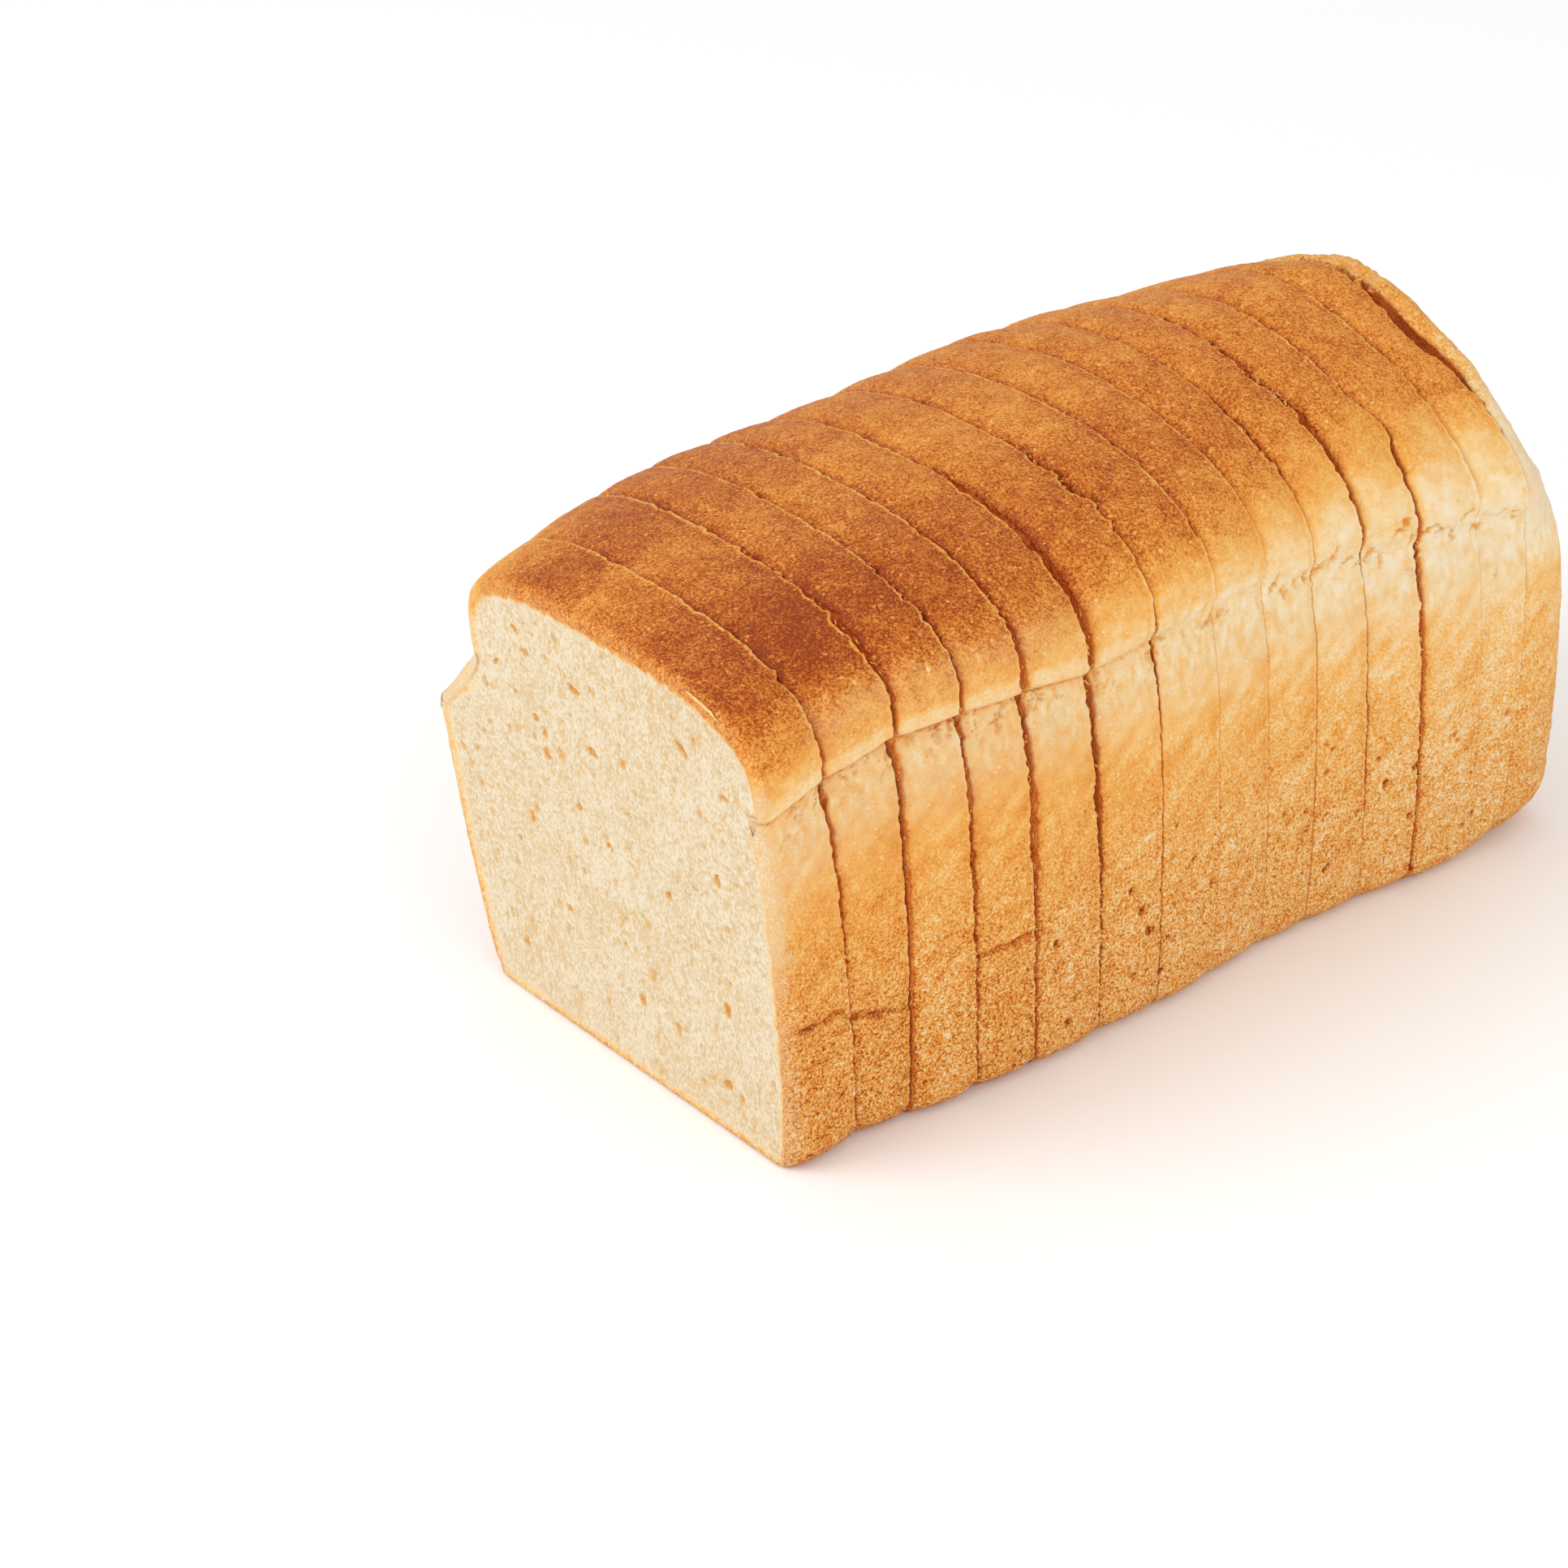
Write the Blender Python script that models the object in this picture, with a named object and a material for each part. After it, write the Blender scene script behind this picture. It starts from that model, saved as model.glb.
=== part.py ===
"""Tin loaf of white bread, machine cut, standing closed up on its flat base.

Thirteen slices and the far end crust, each one closed solid.
X runs across the loaf, Y along it from the open cut face to the end crust, Z is up.
"""
import bpy
import bmesh
from math import cos, sin, pi, radians, tan

MM = 0.001

# the loaf across: the tin gives the sides, the oven gives the dome above the rim
BASE_HALF_WIDTH = 49.5
BASE_CORNER = 5.5
END_CORNER = 13.0
SHOULDER_HALF_WIDTH = 53.5
SHOULDER_HEIGHT = 58.0
WAIST_HEIGHT = 72.5
LIP_HALF_WIDTH = 53.5
LIP_OVERHANG = 3.2
LIP_RISE = 4.0

# the loaf along: crown height, how square the dome is, and the dome's narrow far side at the open end
CROWN_FRONT = 93.5
CROWN_BACK = 108.0
CROWN_RISE = 0.6
DOME_POWER_FRONT = 2.4
DOME_POWER_BACK = 1.5
FACE_POWER = 0.5
FACE_NARROWING = 16.5
FACE_REACH = 0.275
SHOULDER_SLOPE = 1.1

# the cuts: where each one crosses the loaf, its lean from upright and its turn from square
CUT_AT = (0.0, 14.6, 29.6, 42.6, 55.3, 69.0, 83.8, 97.5, 110.9, 122.4, 135.1, 146.8, 160.4, 169.2)
CUT_LEAN = (-1.1, -1.9, 0.7, 0.2, 0.2, 0.0, 0.6, 0.8, 0.3, 0.6, -0.3, -0.1, -0.3, 2.4)
CUT_TURN = (1.6, 0.9, -0.7, -0.9, -1.1, 0.2, -0.5, 0.0, 0.1, 0.1, -0.4, 0.1, 1.0, 1.0)
SIDE_SLIP = (-0.2, -0.8, -0.2, 1.2, 2.3, 1.5, 1.9, 0.6, -1.6, -1.7, -1.6, 0.1, 0.2, 2.6)
RIM_LIFT = (-1.3, 2.2, 5.0, 5.2, 5.2, 3.3, 4.7, 4.6, 4.3, 1.8, 2.5, 0.8, 0.6, -0.5)
FAR_RISE = 1.6

# the gap a blade leaves, and the cuts that stand open at the top or along the near side
KERF = 0.5
OPEN_TOP = {1: 0.2, 5: 1.6, 10: 0.9, 11: 0.3, 13: 2.4}
OPEN_SIDE = {1: 0.8, 2: 0.5, 3: 0.6, 4: 0.5, 5: 1.0, 10: 0.4, 11: 0.5}
SLICE_BELLY = 0.45

# the far end crust rounds over to the end of the tin
HEEL_THICKNESS = 16.5
HEEL_ROUND_SIDE = 8.0
HEEL_ROUND_DOME = 17.0
HEEL_DROP = 24.0
HEEL_FOOT = 3.0
HEEL_LEAN = 3.9
HEEL_LEAN_LOST = 2.8
HEEL_LEAN_FROM = 64.0
HEEL_LEAN_FULL = 80.0
HEEL_STEPS = 6

# how many steps each stretch of the outline is drawn with
CORNER_STEPS = 4
WALL_STEPS = 6
SHOULDER_STEPS = 4
LIP_STEPS = 3
DOME_STEPS = 13

CRUST_COLOUR = (0.62, 0.26, 0.07, 1.0)
CRUMB_COLOUR = (0.86, 0.70, 0.44, 1.0)


def clear_scene():
    for obj in list(bpy.data.objects):
        bpy.data.objects.remove(obj, do_unlink=True)


def make_collection(name):
    coll = bpy.data.collections.new(name)
    bpy.context.scene.collection.children.link(coll)
    return coll


def make_material(name, colour, roughness):
    mat = bpy.data.materials.new(name)
    mat.use_nodes = True
    shader = mat.node_tree.nodes["Principled BSDF"]
    shader.inputs["Base Color"].default_value = colour
    shader.inputs["Roughness"].default_value = roughness
    mat.diffuse_color = colour
    return mat


def between(a, b, t):
    return a + (b - a) * t


def ease(low, high, value):
    """0 below low, 1 above high and a smooth bend between them."""
    t = min(1.0, max(0.0, (value - low) / (high - low)))
    return t * t * (3.0 - 2.0 * t)


def crown_height(t):
    """Height of the dome along the loaf; t is 0 at the open face and 1 at the last cut."""
    return between(CROWN_FRONT, CROWN_BACK, t ** CROWN_RISE)


def dome_power(t):
    """How square the dome is; the open face has torn and settled flatter than the rest."""
    return between(DOME_POWER_FRONT, DOME_POWER_BACK, t * t) + FACE_POWER * max(0.0, 1.0 - 12.0 * t)


def half_outline(crown, power, lift, corner, narrowing):
    """One side of the loaf from the middle of the base to the crown, in millimetres."""
    shoulder = SHOULDER_HEIGHT + lift
    waist = WAIST_HEIGHT + lift
    rim = waist + LIP_RISE
    lip_reach = LIP_HALF_WIDTH - narrowing
    waist_reach = lip_reach - LIP_OVERHANG * (1.0 - narrowing / (FACE_NARROWING + 1.0))
    points = [(0.0, 0.0), (BASE_HALF_WIDTH * 0.5, 0.0)]
    for k in range(CORNER_STEPS):
        a = 0.5 * pi * k / CORNER_STEPS
        points.append((BASE_HALF_WIDTH - corner * (1.0 - sin(a)), corner * (1.0 - cos(a))))
    for k in range(WALL_STEPS):
        t = k / WALL_STEPS
        points.append((
            between(BASE_HALF_WIDTH, SHOULDER_HALF_WIDTH, sin(0.5 * pi * t)),
            between(corner, shoulder, t)))
    slope = 1.0 + SHOULDER_SLOPE * narrowing / FACE_NARROWING
    for k in range(SHOULDER_STEPS):
        a = 0.5 * pi * k / SHOULDER_STEPS
        points.append((
            between(waist_reach, SHOULDER_HALF_WIDTH, cos(a) ** slope),
            between(shoulder, waist, sin(a) ** slope)))
    for k in range(LIP_STEPS):
        t = k / LIP_STEPS
        points.append((
            between(waist_reach, lip_reach, sin(0.5 * pi * t)),
            between(waist, rim, t)))
    for k in range(DOME_STEPS + 1):
        a = 0.5 * pi * k / DOME_STEPS
        points.append((
            lip_reach * max(0.0, cos(a)) ** (2.0 / power),
            rim + (crown - rim) * sin(a) ** (2.0 / power)))
    return points


def outline(cut):
    """The whole outline at a cut, anticlockwise seen from the open face."""
    t = CUT_AT[cut] / CUT_AT[-1]
    corner = END_CORNER if cut == len(CUT_AT) - 1 else BASE_CORNER
    narrowing = FACE_NARROWING * max(0.0, 1.0 - t / FACE_REACH)
    right = half_outline(crown_height(t), dome_power(t), RIM_LIFT[cut], corner, 0.0)
    far_lift = RIM_LIFT[cut] + FAR_RISE * narrowing / FACE_NARROWING
    left = half_outline(crown_height(t), dome_power(t), far_lift, corner, narrowing)
    left = [(-x, z) for x, z in reversed(left[1:-1])]
    return [(x + SIDE_SLIP[cut], z) for x, z in right + left]


def cut_offset(cut, x, z):
    """Where a cut's middle plane stands along the loaf at one point of the outline."""
    lean = tan(radians(CUT_LEAN[cut])) * (z - 50.0)
    turn = tan(radians(CUT_TURN[cut])) * x
    return CUT_AT[cut] + lean + turn


def half_gap(cut, x, z):
    """Half of the open gap at a cut, wider toward the top or the near side where it stands open."""
    top = OPEN_TOP.get(cut, 0.0) * z / 100.0
    side = OPEN_SIDE.get(cut, 0.0) * (x + SHOULDER_HALF_WIDTH + 4.0) / (2.0 * SHOULDER_HALF_WIDTH)
    return 0.5 * (KERF + top + side)


def cut_ring(cut, side):
    """Outline laid in the plane of a cut; side is -1 for the slice before it, 1 for the one after."""
    ring = []
    for x, z in outline(cut):
        ring.append((x, cut_offset(cut, x, z) + side * half_gap(cut, x, z), z))
    return ring


def belly_ring(front, back):
    """Ring halfway through a slice, a little fuller than its two cut edges."""
    ring = []
    for a, b in zip(front, back):
        x = 0.5 * (a[0] + b[0])
        z = 0.5 * (a[2] + b[2])
        ring.append((
            x + SLICE_BELLY * x / SHOULDER_HALF_WIDTH,
            0.5 * (a[1] + b[1]),
            z + SLICE_BELLY * max(0.0, z - WAIST_HEIGHT) / (CROWN_FRONT - WAIST_HEIGHT)))
    return ring


def add_body(name, rings, mat, coll):
    """Closed solid lofted through rings that all have the same number of points."""
    bm = bmesh.new()
    layers = [[bm.verts.new((x * MM, y * MM, z * MM)) for x, y, z in ring] for ring in rings]
    count = len(rings[0])
    for near, far in zip(layers, layers[1:]):
        for k in range(count):
            n = (k + 1) % count
            bm.faces.new((near[k], far[k], far[n], near[n]))
    bm.faces.new(layers[0])
    bm.faces.new(list(reversed(layers[-1])))
    bmesh.ops.recalc_face_normals(bm, faces=bm.faces)
    mesh = bpy.data.meshes.new(name)
    bm.to_mesh(mesh)
    bm.free()
    mesh.materials.append(mat)
    obj = bpy.data.objects.new(name, mesh)
    coll.objects.link(obj)
    return obj


def add_slice(number, mat, coll):
    front = cut_ring(number - 1, 1.0)
    back = cut_ring(number, -1.0)
    return add_body("slice_%02d" % number, [front, belly_ring(front, back), back], mat, coll)


def add_heel(mat, coll):
    """The far end crust, rounding over from the last cut to the end of the tin."""
    last = len(CUT_AT) - 1
    front = cut_ring(last, 1.0)
    end = CUT_AT[last] + HEEL_THICKNESS
    rings = [front]
    for k in range(1, HEEL_STEPS + 1):
        a = 0.5 * pi * k / HEEL_STEPS
        inset = 1.0 - cos(a)
        ring = []
        for x, y, z in front:
            dome = max(0.0, (z - WAIST_HEIGHT) / (CROWN_BACK - WAIST_HEIGHT))
            blend = min(1.0, max(0.0, (z - SHOULDER_HEIGHT) / (2.0 * (WAIST_HEIGHT - SHOULDER_HEIGHT))))
            round_over = between(HEEL_ROUND_SIDE, HEEL_ROUND_DOME, blend)
            reach = 1.0 - round_over * inset / SHOULDER_HALF_WIDTH
            drop = HEEL_DROP * inset * dome
            foot = HEEL_FOOT * inset * max(0.0, 1.0 - z / 20.0)
            lean = HEEL_LEAN * ease(HEEL_LEAN_FROM, HEEL_LEAN_FULL, z)
            lean -= HEEL_LEAN_LOST * ease(HEEL_LEAN_FULL, CROWN_BACK, z)
            ring.append((x * reach, y + (end - y) * sin(a) - lean * sin(2.0 * a), z - drop + foot))
        rings.append(ring)
    return add_body("end_crust", rings, mat, coll)


def stand_on_origin(coll):
    """Puts the origin under the middle of the loaf, at the level of its base."""
    corners = [v.co for obj in coll.objects for v in obj.data.vertices]
    middle_x = 0.5 * (min(c.x for c in corners) + max(c.x for c in corners))
    middle_y = 0.5 * (min(c.y for c in corners) + max(c.y for c in corners))
    for obj in coll.objects:
        obj.location = (-middle_x, -middle_y, 0.0)


def build():
    clear_scene()
    coll = make_collection("tin_loaf")
    crumb = make_material("crumb", CRUMB_COLOUR, 0.85)
    crust = make_material("crust", CRUST_COLOUR, 0.55)
    for number in range(1, len(CUT_AT)):
        add_slice(number, crumb, coll)
    add_heel(crust, coll)
    stand_on_origin(coll)


build()
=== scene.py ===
from math import pi, radians, tan
import bpy
import numpy as np
from mathutils import Matrix


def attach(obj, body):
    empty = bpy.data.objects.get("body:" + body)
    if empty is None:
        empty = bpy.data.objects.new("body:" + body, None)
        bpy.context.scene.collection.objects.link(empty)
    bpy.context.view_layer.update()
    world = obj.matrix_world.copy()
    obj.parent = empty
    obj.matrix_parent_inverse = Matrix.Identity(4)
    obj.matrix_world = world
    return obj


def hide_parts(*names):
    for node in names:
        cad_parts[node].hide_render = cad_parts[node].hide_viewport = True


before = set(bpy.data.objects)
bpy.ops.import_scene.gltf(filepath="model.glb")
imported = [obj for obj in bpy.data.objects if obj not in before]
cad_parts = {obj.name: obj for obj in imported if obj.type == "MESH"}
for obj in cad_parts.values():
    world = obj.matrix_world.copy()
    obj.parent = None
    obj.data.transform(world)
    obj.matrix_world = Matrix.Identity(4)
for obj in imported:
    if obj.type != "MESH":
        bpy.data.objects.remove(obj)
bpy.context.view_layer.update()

# ---- THE THIRTEEN SLICES --------------------------------------------------------------------------
# Each slice is a cut of white tin bread: open pale crumb inside a thin baked crust. A saw takes them
# off square across the loaf and they are left standing against each other. The tin gives the base
# and the straight sides; above its rim the dough sprang into a dome whose edge hangs over the sides.

MM = 0.001
LOAF_MIDDLE_X, LOAF_MIDDLE_Y = 0.243, 92.147

# the outline of a slice, in millimetres
BASE_HALF_WIDTH = 49.5
BASE_CORNER, END_CORNER = 5.5, 13.0
SIDE_HALF_WIDTH = 53.5
SHOULDER_HEIGHT, WAIST_HEIGHT, LIP_RISE = 58.0, 72.5, 4.0
CROWN_FRONT, CROWN_BACK, CROWN_RISE = 93.5, 108.0, 0.6
DOME_SQUARE_FRONT, DOME_SQUARE_BACK, FACE_SQUARE = 2.4, 1.5, 0.5
FACE_NARROWING, FACE_REACH, SHOULDER_SLOPE = 16.5, 0.275, 1.1

# the cuts, from the open face to the end crust
CUT_AT = (0.0, 14.6, 29.6, 42.6, 55.3, 69.0, 83.8, 97.5, 110.9, 122.4, 135.1, 146.8, 160.4, 169.2)
CUT_LEAN = (-1.1, -1.9, 0.7, 0.2, 0.2, 0.0, 0.6, 0.8, 0.3, 0.6, -0.3, -0.1, -0.3, 2.4)
CUT_TURN = (1.6, 0.9, -0.7, -0.9, -1.1, 0.2, -0.5, 0.0, 0.1, 0.1, -0.4, 0.1, 1.0, 1.0)
SIDE_SLIP = (-0.2, -0.8, -0.2, 1.2, 2.3, 1.5, 1.9, 0.6, -1.6, -1.7, -1.6, 0.1, 0.2, 2.6)
RIM_LIFT = (-1.3, 2.2, 5.0, 5.2, 5.2, 3.3, 4.7, 4.6, 4.3, 1.8, 2.5, 0.8, 0.6, -0.5)
FAR_RISE = 1.6
# how far the dome hangs over at each cut, and how crisp that edge is (1) or how torn and soft (0)
OVERHANG = (3.0, 3.2, 3.2, 3.2, 3.2, 3.0, 2.0, 1.5, 1.3, 1.2, 1.2, 1.3, 1.3, 1.2)
CRISPNESS = (1.0, 1.0, 1.0, 1.0, 1.0, 0.9, 0.35, 0.1, 0.0, 0.0, 0.1, 0.2, 0.2, 0.1)

# steps along each stretch of half an outline: base, corner, side, shoulder, lip, dome
BASE_STEPS, CORNER_STEPS, SIDE_STEPS, SHOULDER_STEPS, LIP_STEPS, DOME_STEPS = 90, 22, 130, 40, 24, 174
HALF_ROUND = BASE_STEPS + CORNER_STEPS + SIDE_STEPS + SHOULDER_STEPS + LIP_STEPS + DOME_STEPS
AROUND = 2 * HALF_ROUND
RIM_STEP = HALF_ROUND - DOME_STEPS


def half_outline(cut, narrowing):
    """One side of the loaf at a cut, from the middle of the base up to the crown, in millimetres.

    The base is level and the corner a quarter circle. The side leans out as a quarter sine wave and
    the shoulder is a quarter ellipse in to the waist. The lip is a sine, raised to a power that makes
    it crisp or soft, and the dome is a superellipse stepped evenly along its length. Also gives the
    height of the rim and the length of the dome from rim to crown."""
    along = CUT_AT[cut] / CUT_AT[-1]
    corner = END_CORNER if cut == len(CUT_AT) - 1 else BASE_CORNER
    crown = CROWN_FRONT + (CROWN_BACK - CROWN_FRONT) * along ** CROWN_RISE
    square = DOME_SQUARE_FRONT + (DOME_SQUARE_BACK - DOME_SQUARE_FRONT) * along ** 2
    square += FACE_SQUARE * max(0.0, 1.0 - 12.0 * along)
    lift = RIM_LIFT[cut] + FAR_RISE * narrowing / FACE_NARROWING
    shoulder = SHOULDER_HEIGHT + lift
    waist = WAIST_HEIGHT + lift
    rim = waist + LIP_RISE
    reach = SIDE_HALF_WIDTH - narrowing
    waist_reach = reach - OVERHANG[cut] * (1.0 - narrowing / (FACE_NARROWING + 1.0))
    slope = 1.0 + SHOULDER_SLOPE * narrowing / FACE_NARROWING

    t = np.arange(BASE_STEPS) / BASE_STEPS
    base = np.stack([(BASE_HALF_WIDTH - corner) * t, 0.0 * t], 1)
    a = 0.5 * pi * np.arange(CORNER_STEPS) / CORNER_STEPS
    bend = np.stack([BASE_HALF_WIDTH - corner * (1 - np.sin(a)), corner * (1 - np.cos(a))], 1)
    t = np.arange(SIDE_STEPS) / SIDE_STEPS
    wall = np.stack([BASE_HALF_WIDTH + (SIDE_HALF_WIDTH - BASE_HALF_WIDTH) * np.sin(0.5 * pi * t),
                     corner + (shoulder - corner) * t], 1)
    a = 0.5 * pi * np.arange(SHOULDER_STEPS) / SHOULDER_STEPS
    turn_in = np.stack([waist_reach + (SIDE_HALF_WIDTH - waist_reach) * np.cos(a) ** slope,
                        shoulder + (waist - shoulder) * np.sin(a) ** slope], 1)
    t = np.arange(SHOULDER_STEPS) / SHOULDER_STEPS
    soft = np.stack([SIDE_HALF_WIDTH - (SIDE_HALF_WIDTH - waist_reach) * (0.5 - 0.5 * np.cos(pi * t)),
                     shoulder + (waist - shoulder) * t], 1)
    turn_in = soft + (turn_in - soft) * min(1.0, 2.0 * CRISPNESS[cut] + 0.5 * (narrowing > 0))
    t = (np.arange(LIP_STEPS) / LIP_STEPS) ** 1.6
    crisp = np.sin(0.5 * pi * np.minimum(1.0, t * (1.0 + 1.2 * CRISPNESS[cut]))) ** (1.0 - 0.50 * CRISPNESS[cut])
    crisp += (0.5 - 0.5 * np.cos(pi * t) - crisp) * max(0.0, 1.0 - 2.0 * CRISPNESS[cut])
    lip = np.stack([waist_reach + (reach - waist_reach) * crisp, waist + LIP_RISE * t], 1)
    a = 0.5 * pi * np.linspace(0.0, 1.0, 3000)
    x = reach * np.cos(a).clip(0) ** (2.0 / square)
    z = rim + (crown - rim) * np.sin(a) ** (2.0 / square)
    length = np.concatenate([[0.0], np.cumsum(np.hypot(np.diff(x), np.diff(z)))])
    even = np.linspace(0.0, length[-1], DOME_STEPS + 1)
    dome = np.stack([np.interp(even, length, x), np.interp(even, length, z)], 1)
    return np.concatenate([base, bend, wall, turn_in, lip, dome]), rim, length[-1]


def outline(cut):
    """The whole outline at a cut, anticlockwise seen from the open face, starting at the middle of
    the base, and for each of its points the way up the dome from the rim (below the rim: minus the
    height that is missing to it)."""
    narrowing = FACE_NARROWING * max(0.0, 1.0 - CUT_AT[cut] / CUT_AT[-1] / FACE_REACH)
    near, near_rim, near_dome = half_outline(cut, 0.0)
    far, far_rim, far_dome = half_outline(cut, narrowing)
    whole = np.concatenate([near[:-1], (far * (-1, 1))[:0:-1]])
    whole[:, 0] += SIDE_SLIP[cut]
    step = np.arange(AROUND)
    up = np.minimum(step, AROUND - step) - RIM_STEP
    dome = np.where(step <= HALF_ROUND, near_dome, far_dome)
    rim = np.where(step <= HALF_ROUND, near_rim, far_rim)
    return whole, np.where(up > 0, dome * up / DOME_STEPS, whole[:, 1] - rim)


# how wide each cut stands open, in millimetres, at twelve places round the outline: base, corner,
# middle and upper part of the near side, shoulder, lip, low, middle and high dome, crown, far dome
# and far side
GAP_PLACES = (0, 112, 175, 225, 268, 300, 335, 365, 400, 450, 600, 760, 960)
CUT_GAPS = (
    (0.30, 0.31, 0.29, 0.48, 1.40, 0.70, 0.15, 0.12, 0.10, 0.10, 0.10, 0.20),
    (0.30, 0.26, 0.28, 0.34, 0.42, 0.30, 0.70, 0.55, 0.20, 0.10, 0.10, 0.30),
    (0.35, 0.30, 0.38, 0.55, 0.62, 0.60, 0.35, 0.30, 0.20, 0.10, 0.10, 0.30),
    (0.30, 0.26, 0.33, 0.58, 0.80, 0.90, 0.30, 0.30, 0.25, 0.10, 0.10, 0.30),
    (0.28, 0.24, 0.33, 0.75, 1.10, 1.20, 1.70, 2.10, 1.80, 0.70, 0.20, 0.40),
    (0.15, 0.05, 0.05, 0.10, 0.30, 0.25, 0.05, 0.10, 0.50, 0.30, 0.10, 0.20),
    (0.15, 0.05, 0.03, 0.03, 0.05, 0.05, 0.05, 0.05, 0.15, 0.30, 0.10, 0.20),
    (0.15, 0.05, 0.03, 0.03, 0.05, 0.05, 0.05, 0.05, 0.10, 0.15, 0.10, 0.20),
    (0.15, 0.05, 0.03, 0.03, 0.05, 0.05, 0.15, 0.40, 0.30, 0.15, 0.10, 0.20),
    (0.20, 0.15, 0.30, 0.25, 0.20, 0.40, 1.10, 1.40, 1.20, 0.60, 0.30, 0.30),
    (0.28, 0.28, 0.32, 0.45, 0.50, 0.40, 0.50, 0.20, 0.15, 0.10, 0.10, 0.30),
    (0.15, 0.05, 0.03, 0.03, 0.05, 0.05, 0.05, 0.15, 0.30, 0.15, 0.10, 0.20),
    (0.15, 0.05, 0.03, 0.05, 0.10, 0.10, 0.05, 0.20, 3.40, 2.80, 0.60, 0.30))


# how badly the saw chipped the dome's crust at each cut, and at places along it: cut, way up the dome,
# half length and how far the chip reaches, all in millimetres
CHIPPING = (0.0, 0.7, 1.0, 1.1, 0.9, 0.5, 1.5, 0.5, 0.5, 0.9, 1.1, 0.6, 1.0, 0.9)
CHIPS = ((1, 31.0, 1.6, 0.7), (1, 18.5, 1.2, 0.6), (2, 12.5, 1.2, 0.5), (2, 24.0, 1.4, 0.6), (3, 17.5, 1.5, 0.9),
         (3, 21.5, 0.9, -0.6), (4, 13.0, 1.0, 0.5), (6, 36.0, 1.6, 0.9), (6, 30.5, 1.4, -1.0), (6, 26.0, 1.8, 1.3),
         (6, 20.0, 1.4, 1.0), (7, 30.0, 1.0, 0.5), (9, 19.0, 1.0, 0.6), (9, 33.0, 1.4, -0.6), (10, 38.0, 2.6, -1.1),
         (10, 27.0, 2.2, 0.9), (11, 33.0, 1.4, 0.7), (12, 30.0, 1.4, 0.8), (12, 24.0, 1.0, -0.6))


def scramble(cells, seed):
    """A whole number that looks random for each cell of a lattice: its places times large primes,
    mixed together by shifts and products."""
    c = cells.astype(np.uint32)
    h = np.full(c.shape[:-1], (seed * 40503 + 977) % 4294967296, np.uint32)
    for axis, prime in zip(range(c.shape[-1]), (73856093, 19349663, 83492791)):
        h = (h ^ (c[..., axis] * np.uint32(prime))) * np.uint32(2654435761)
        h ^= h >> np.uint32(15)
    h = h * np.uint32(2246822519)
    return h ^ (h >> np.uint32(13))


def ripple(points, seed):
    """Smooth noise from about -1 to 1. Every corner of the lattice has a random slope; a point reads
    the eight slopes round it and blends them with a curve that is level at both ends."""
    cell = np.floor(points).astype(np.int64)
    f = points - cell
    w = f * f * f * (f * (f * 6.0 - 15.0) + 10.0)
    total = np.zeros(points.shape[:-1])
    for corner in np.ndindex(2, 2, 2):
        o = np.array(corner)
        h = scramble(cell + o, seed)
        d = f - o
        slope = sum(((h >> np.uint32(10 * k)) % np.uint32(1024) / 511.5 - 1.0) * d[..., k] for k in range(3))
        total += slope * np.prod(np.where(o == 1, w, 1.0 - w), axis=-1)
    return 1.5 * total


def holes(points, seed, chance, least, most):
    """Round hollows, 0 on the flat and 1 at the bottom. Each cell of the lattice holds a hollow with
    a given chance, at a random place and of a random radius; its depth is one less the squared
    distance from its middle, and the deepest hollow wins."""
    cell = np.floor(points).astype(np.int64)
    depth = np.zeros(points.shape[:-1])
    size = points.shape[-1]
    for neighbour in np.ndindex(*(3,) * size):
        c = cell + (np.array(neighbour) - 1)
        place = np.stack([scramble(c, seed + 11 * k) / 4294967296.0 for k in range(size + 2)], -1)
        away = np.sum((points - c - place[..., :size]) ** 2, axis=-1)
        radius = least + (most - least) * place[..., size] ** 2
        bowl = (1.0 - away / radius ** 2).clip(0) * (place[..., size + 1] < chance)
        depth = np.maximum(depth, bowl)
    return depth


def smooth_step(low, high, value):
    """0 below low, 1 above high, and three squares less two cubes of the way between."""
    t = ((value - low) / (high - low)).clip(0, 1)
    return t * t * (3.0 - 2.0 * t)


def spread(rows, row_at, column_at, y, s):
    """A small table of numbers read smoothly at y along the loaf and s across it, straight between."""
    lines = np.stack([np.interp(s, column_at, row) for row in rows])
    place = np.interp(y, row_at, np.arange(len(row_at)))
    low = np.minimum(place.astype(int), len(row_at) - 2)
    part = place - low
    at = np.arange(len(y))
    return lines[low, at] * (1 - part) + lines[low + 1, at] * part


# how far the crust is baked: 0 is white dough, 0.5 golden, 1 dark brown. Down the rows: places along
# the loaf. Across: heights up the side, then ways up the dome from the rim
SIDE_HEIGHTS = (0, 5, 15, 30, 45, 55, 64, 72)
SIDE_PLACES = (7, 49, 91, 129, 165)
SIDE_BAKE = (
    (0.52, 0.44, 0.43, 0.43, 0.45, 0.39, 0.35, 0.22),
    (0.51, 0.41, 0.39, 0.40, 0.41, 0.41, 0.36, 0.22),
    (0.44, 0.36, 0.37, 0.35, 0.37, 0.31, 0.24, 0.15),
    (0.42, 0.35, 0.34, 0.34, 0.34, 0.27, 0.20, 0.10),
    (0.42, 0.32, 0.28, 0.25, 0.23, 0.21, 0.16, 0.07))
DOME_WAYS = (1.5, 5, 10, 16, 24, 34, 46, 58)
DOME_PLACES = (7, 22, 49, 76, 104, 129, 165)
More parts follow.
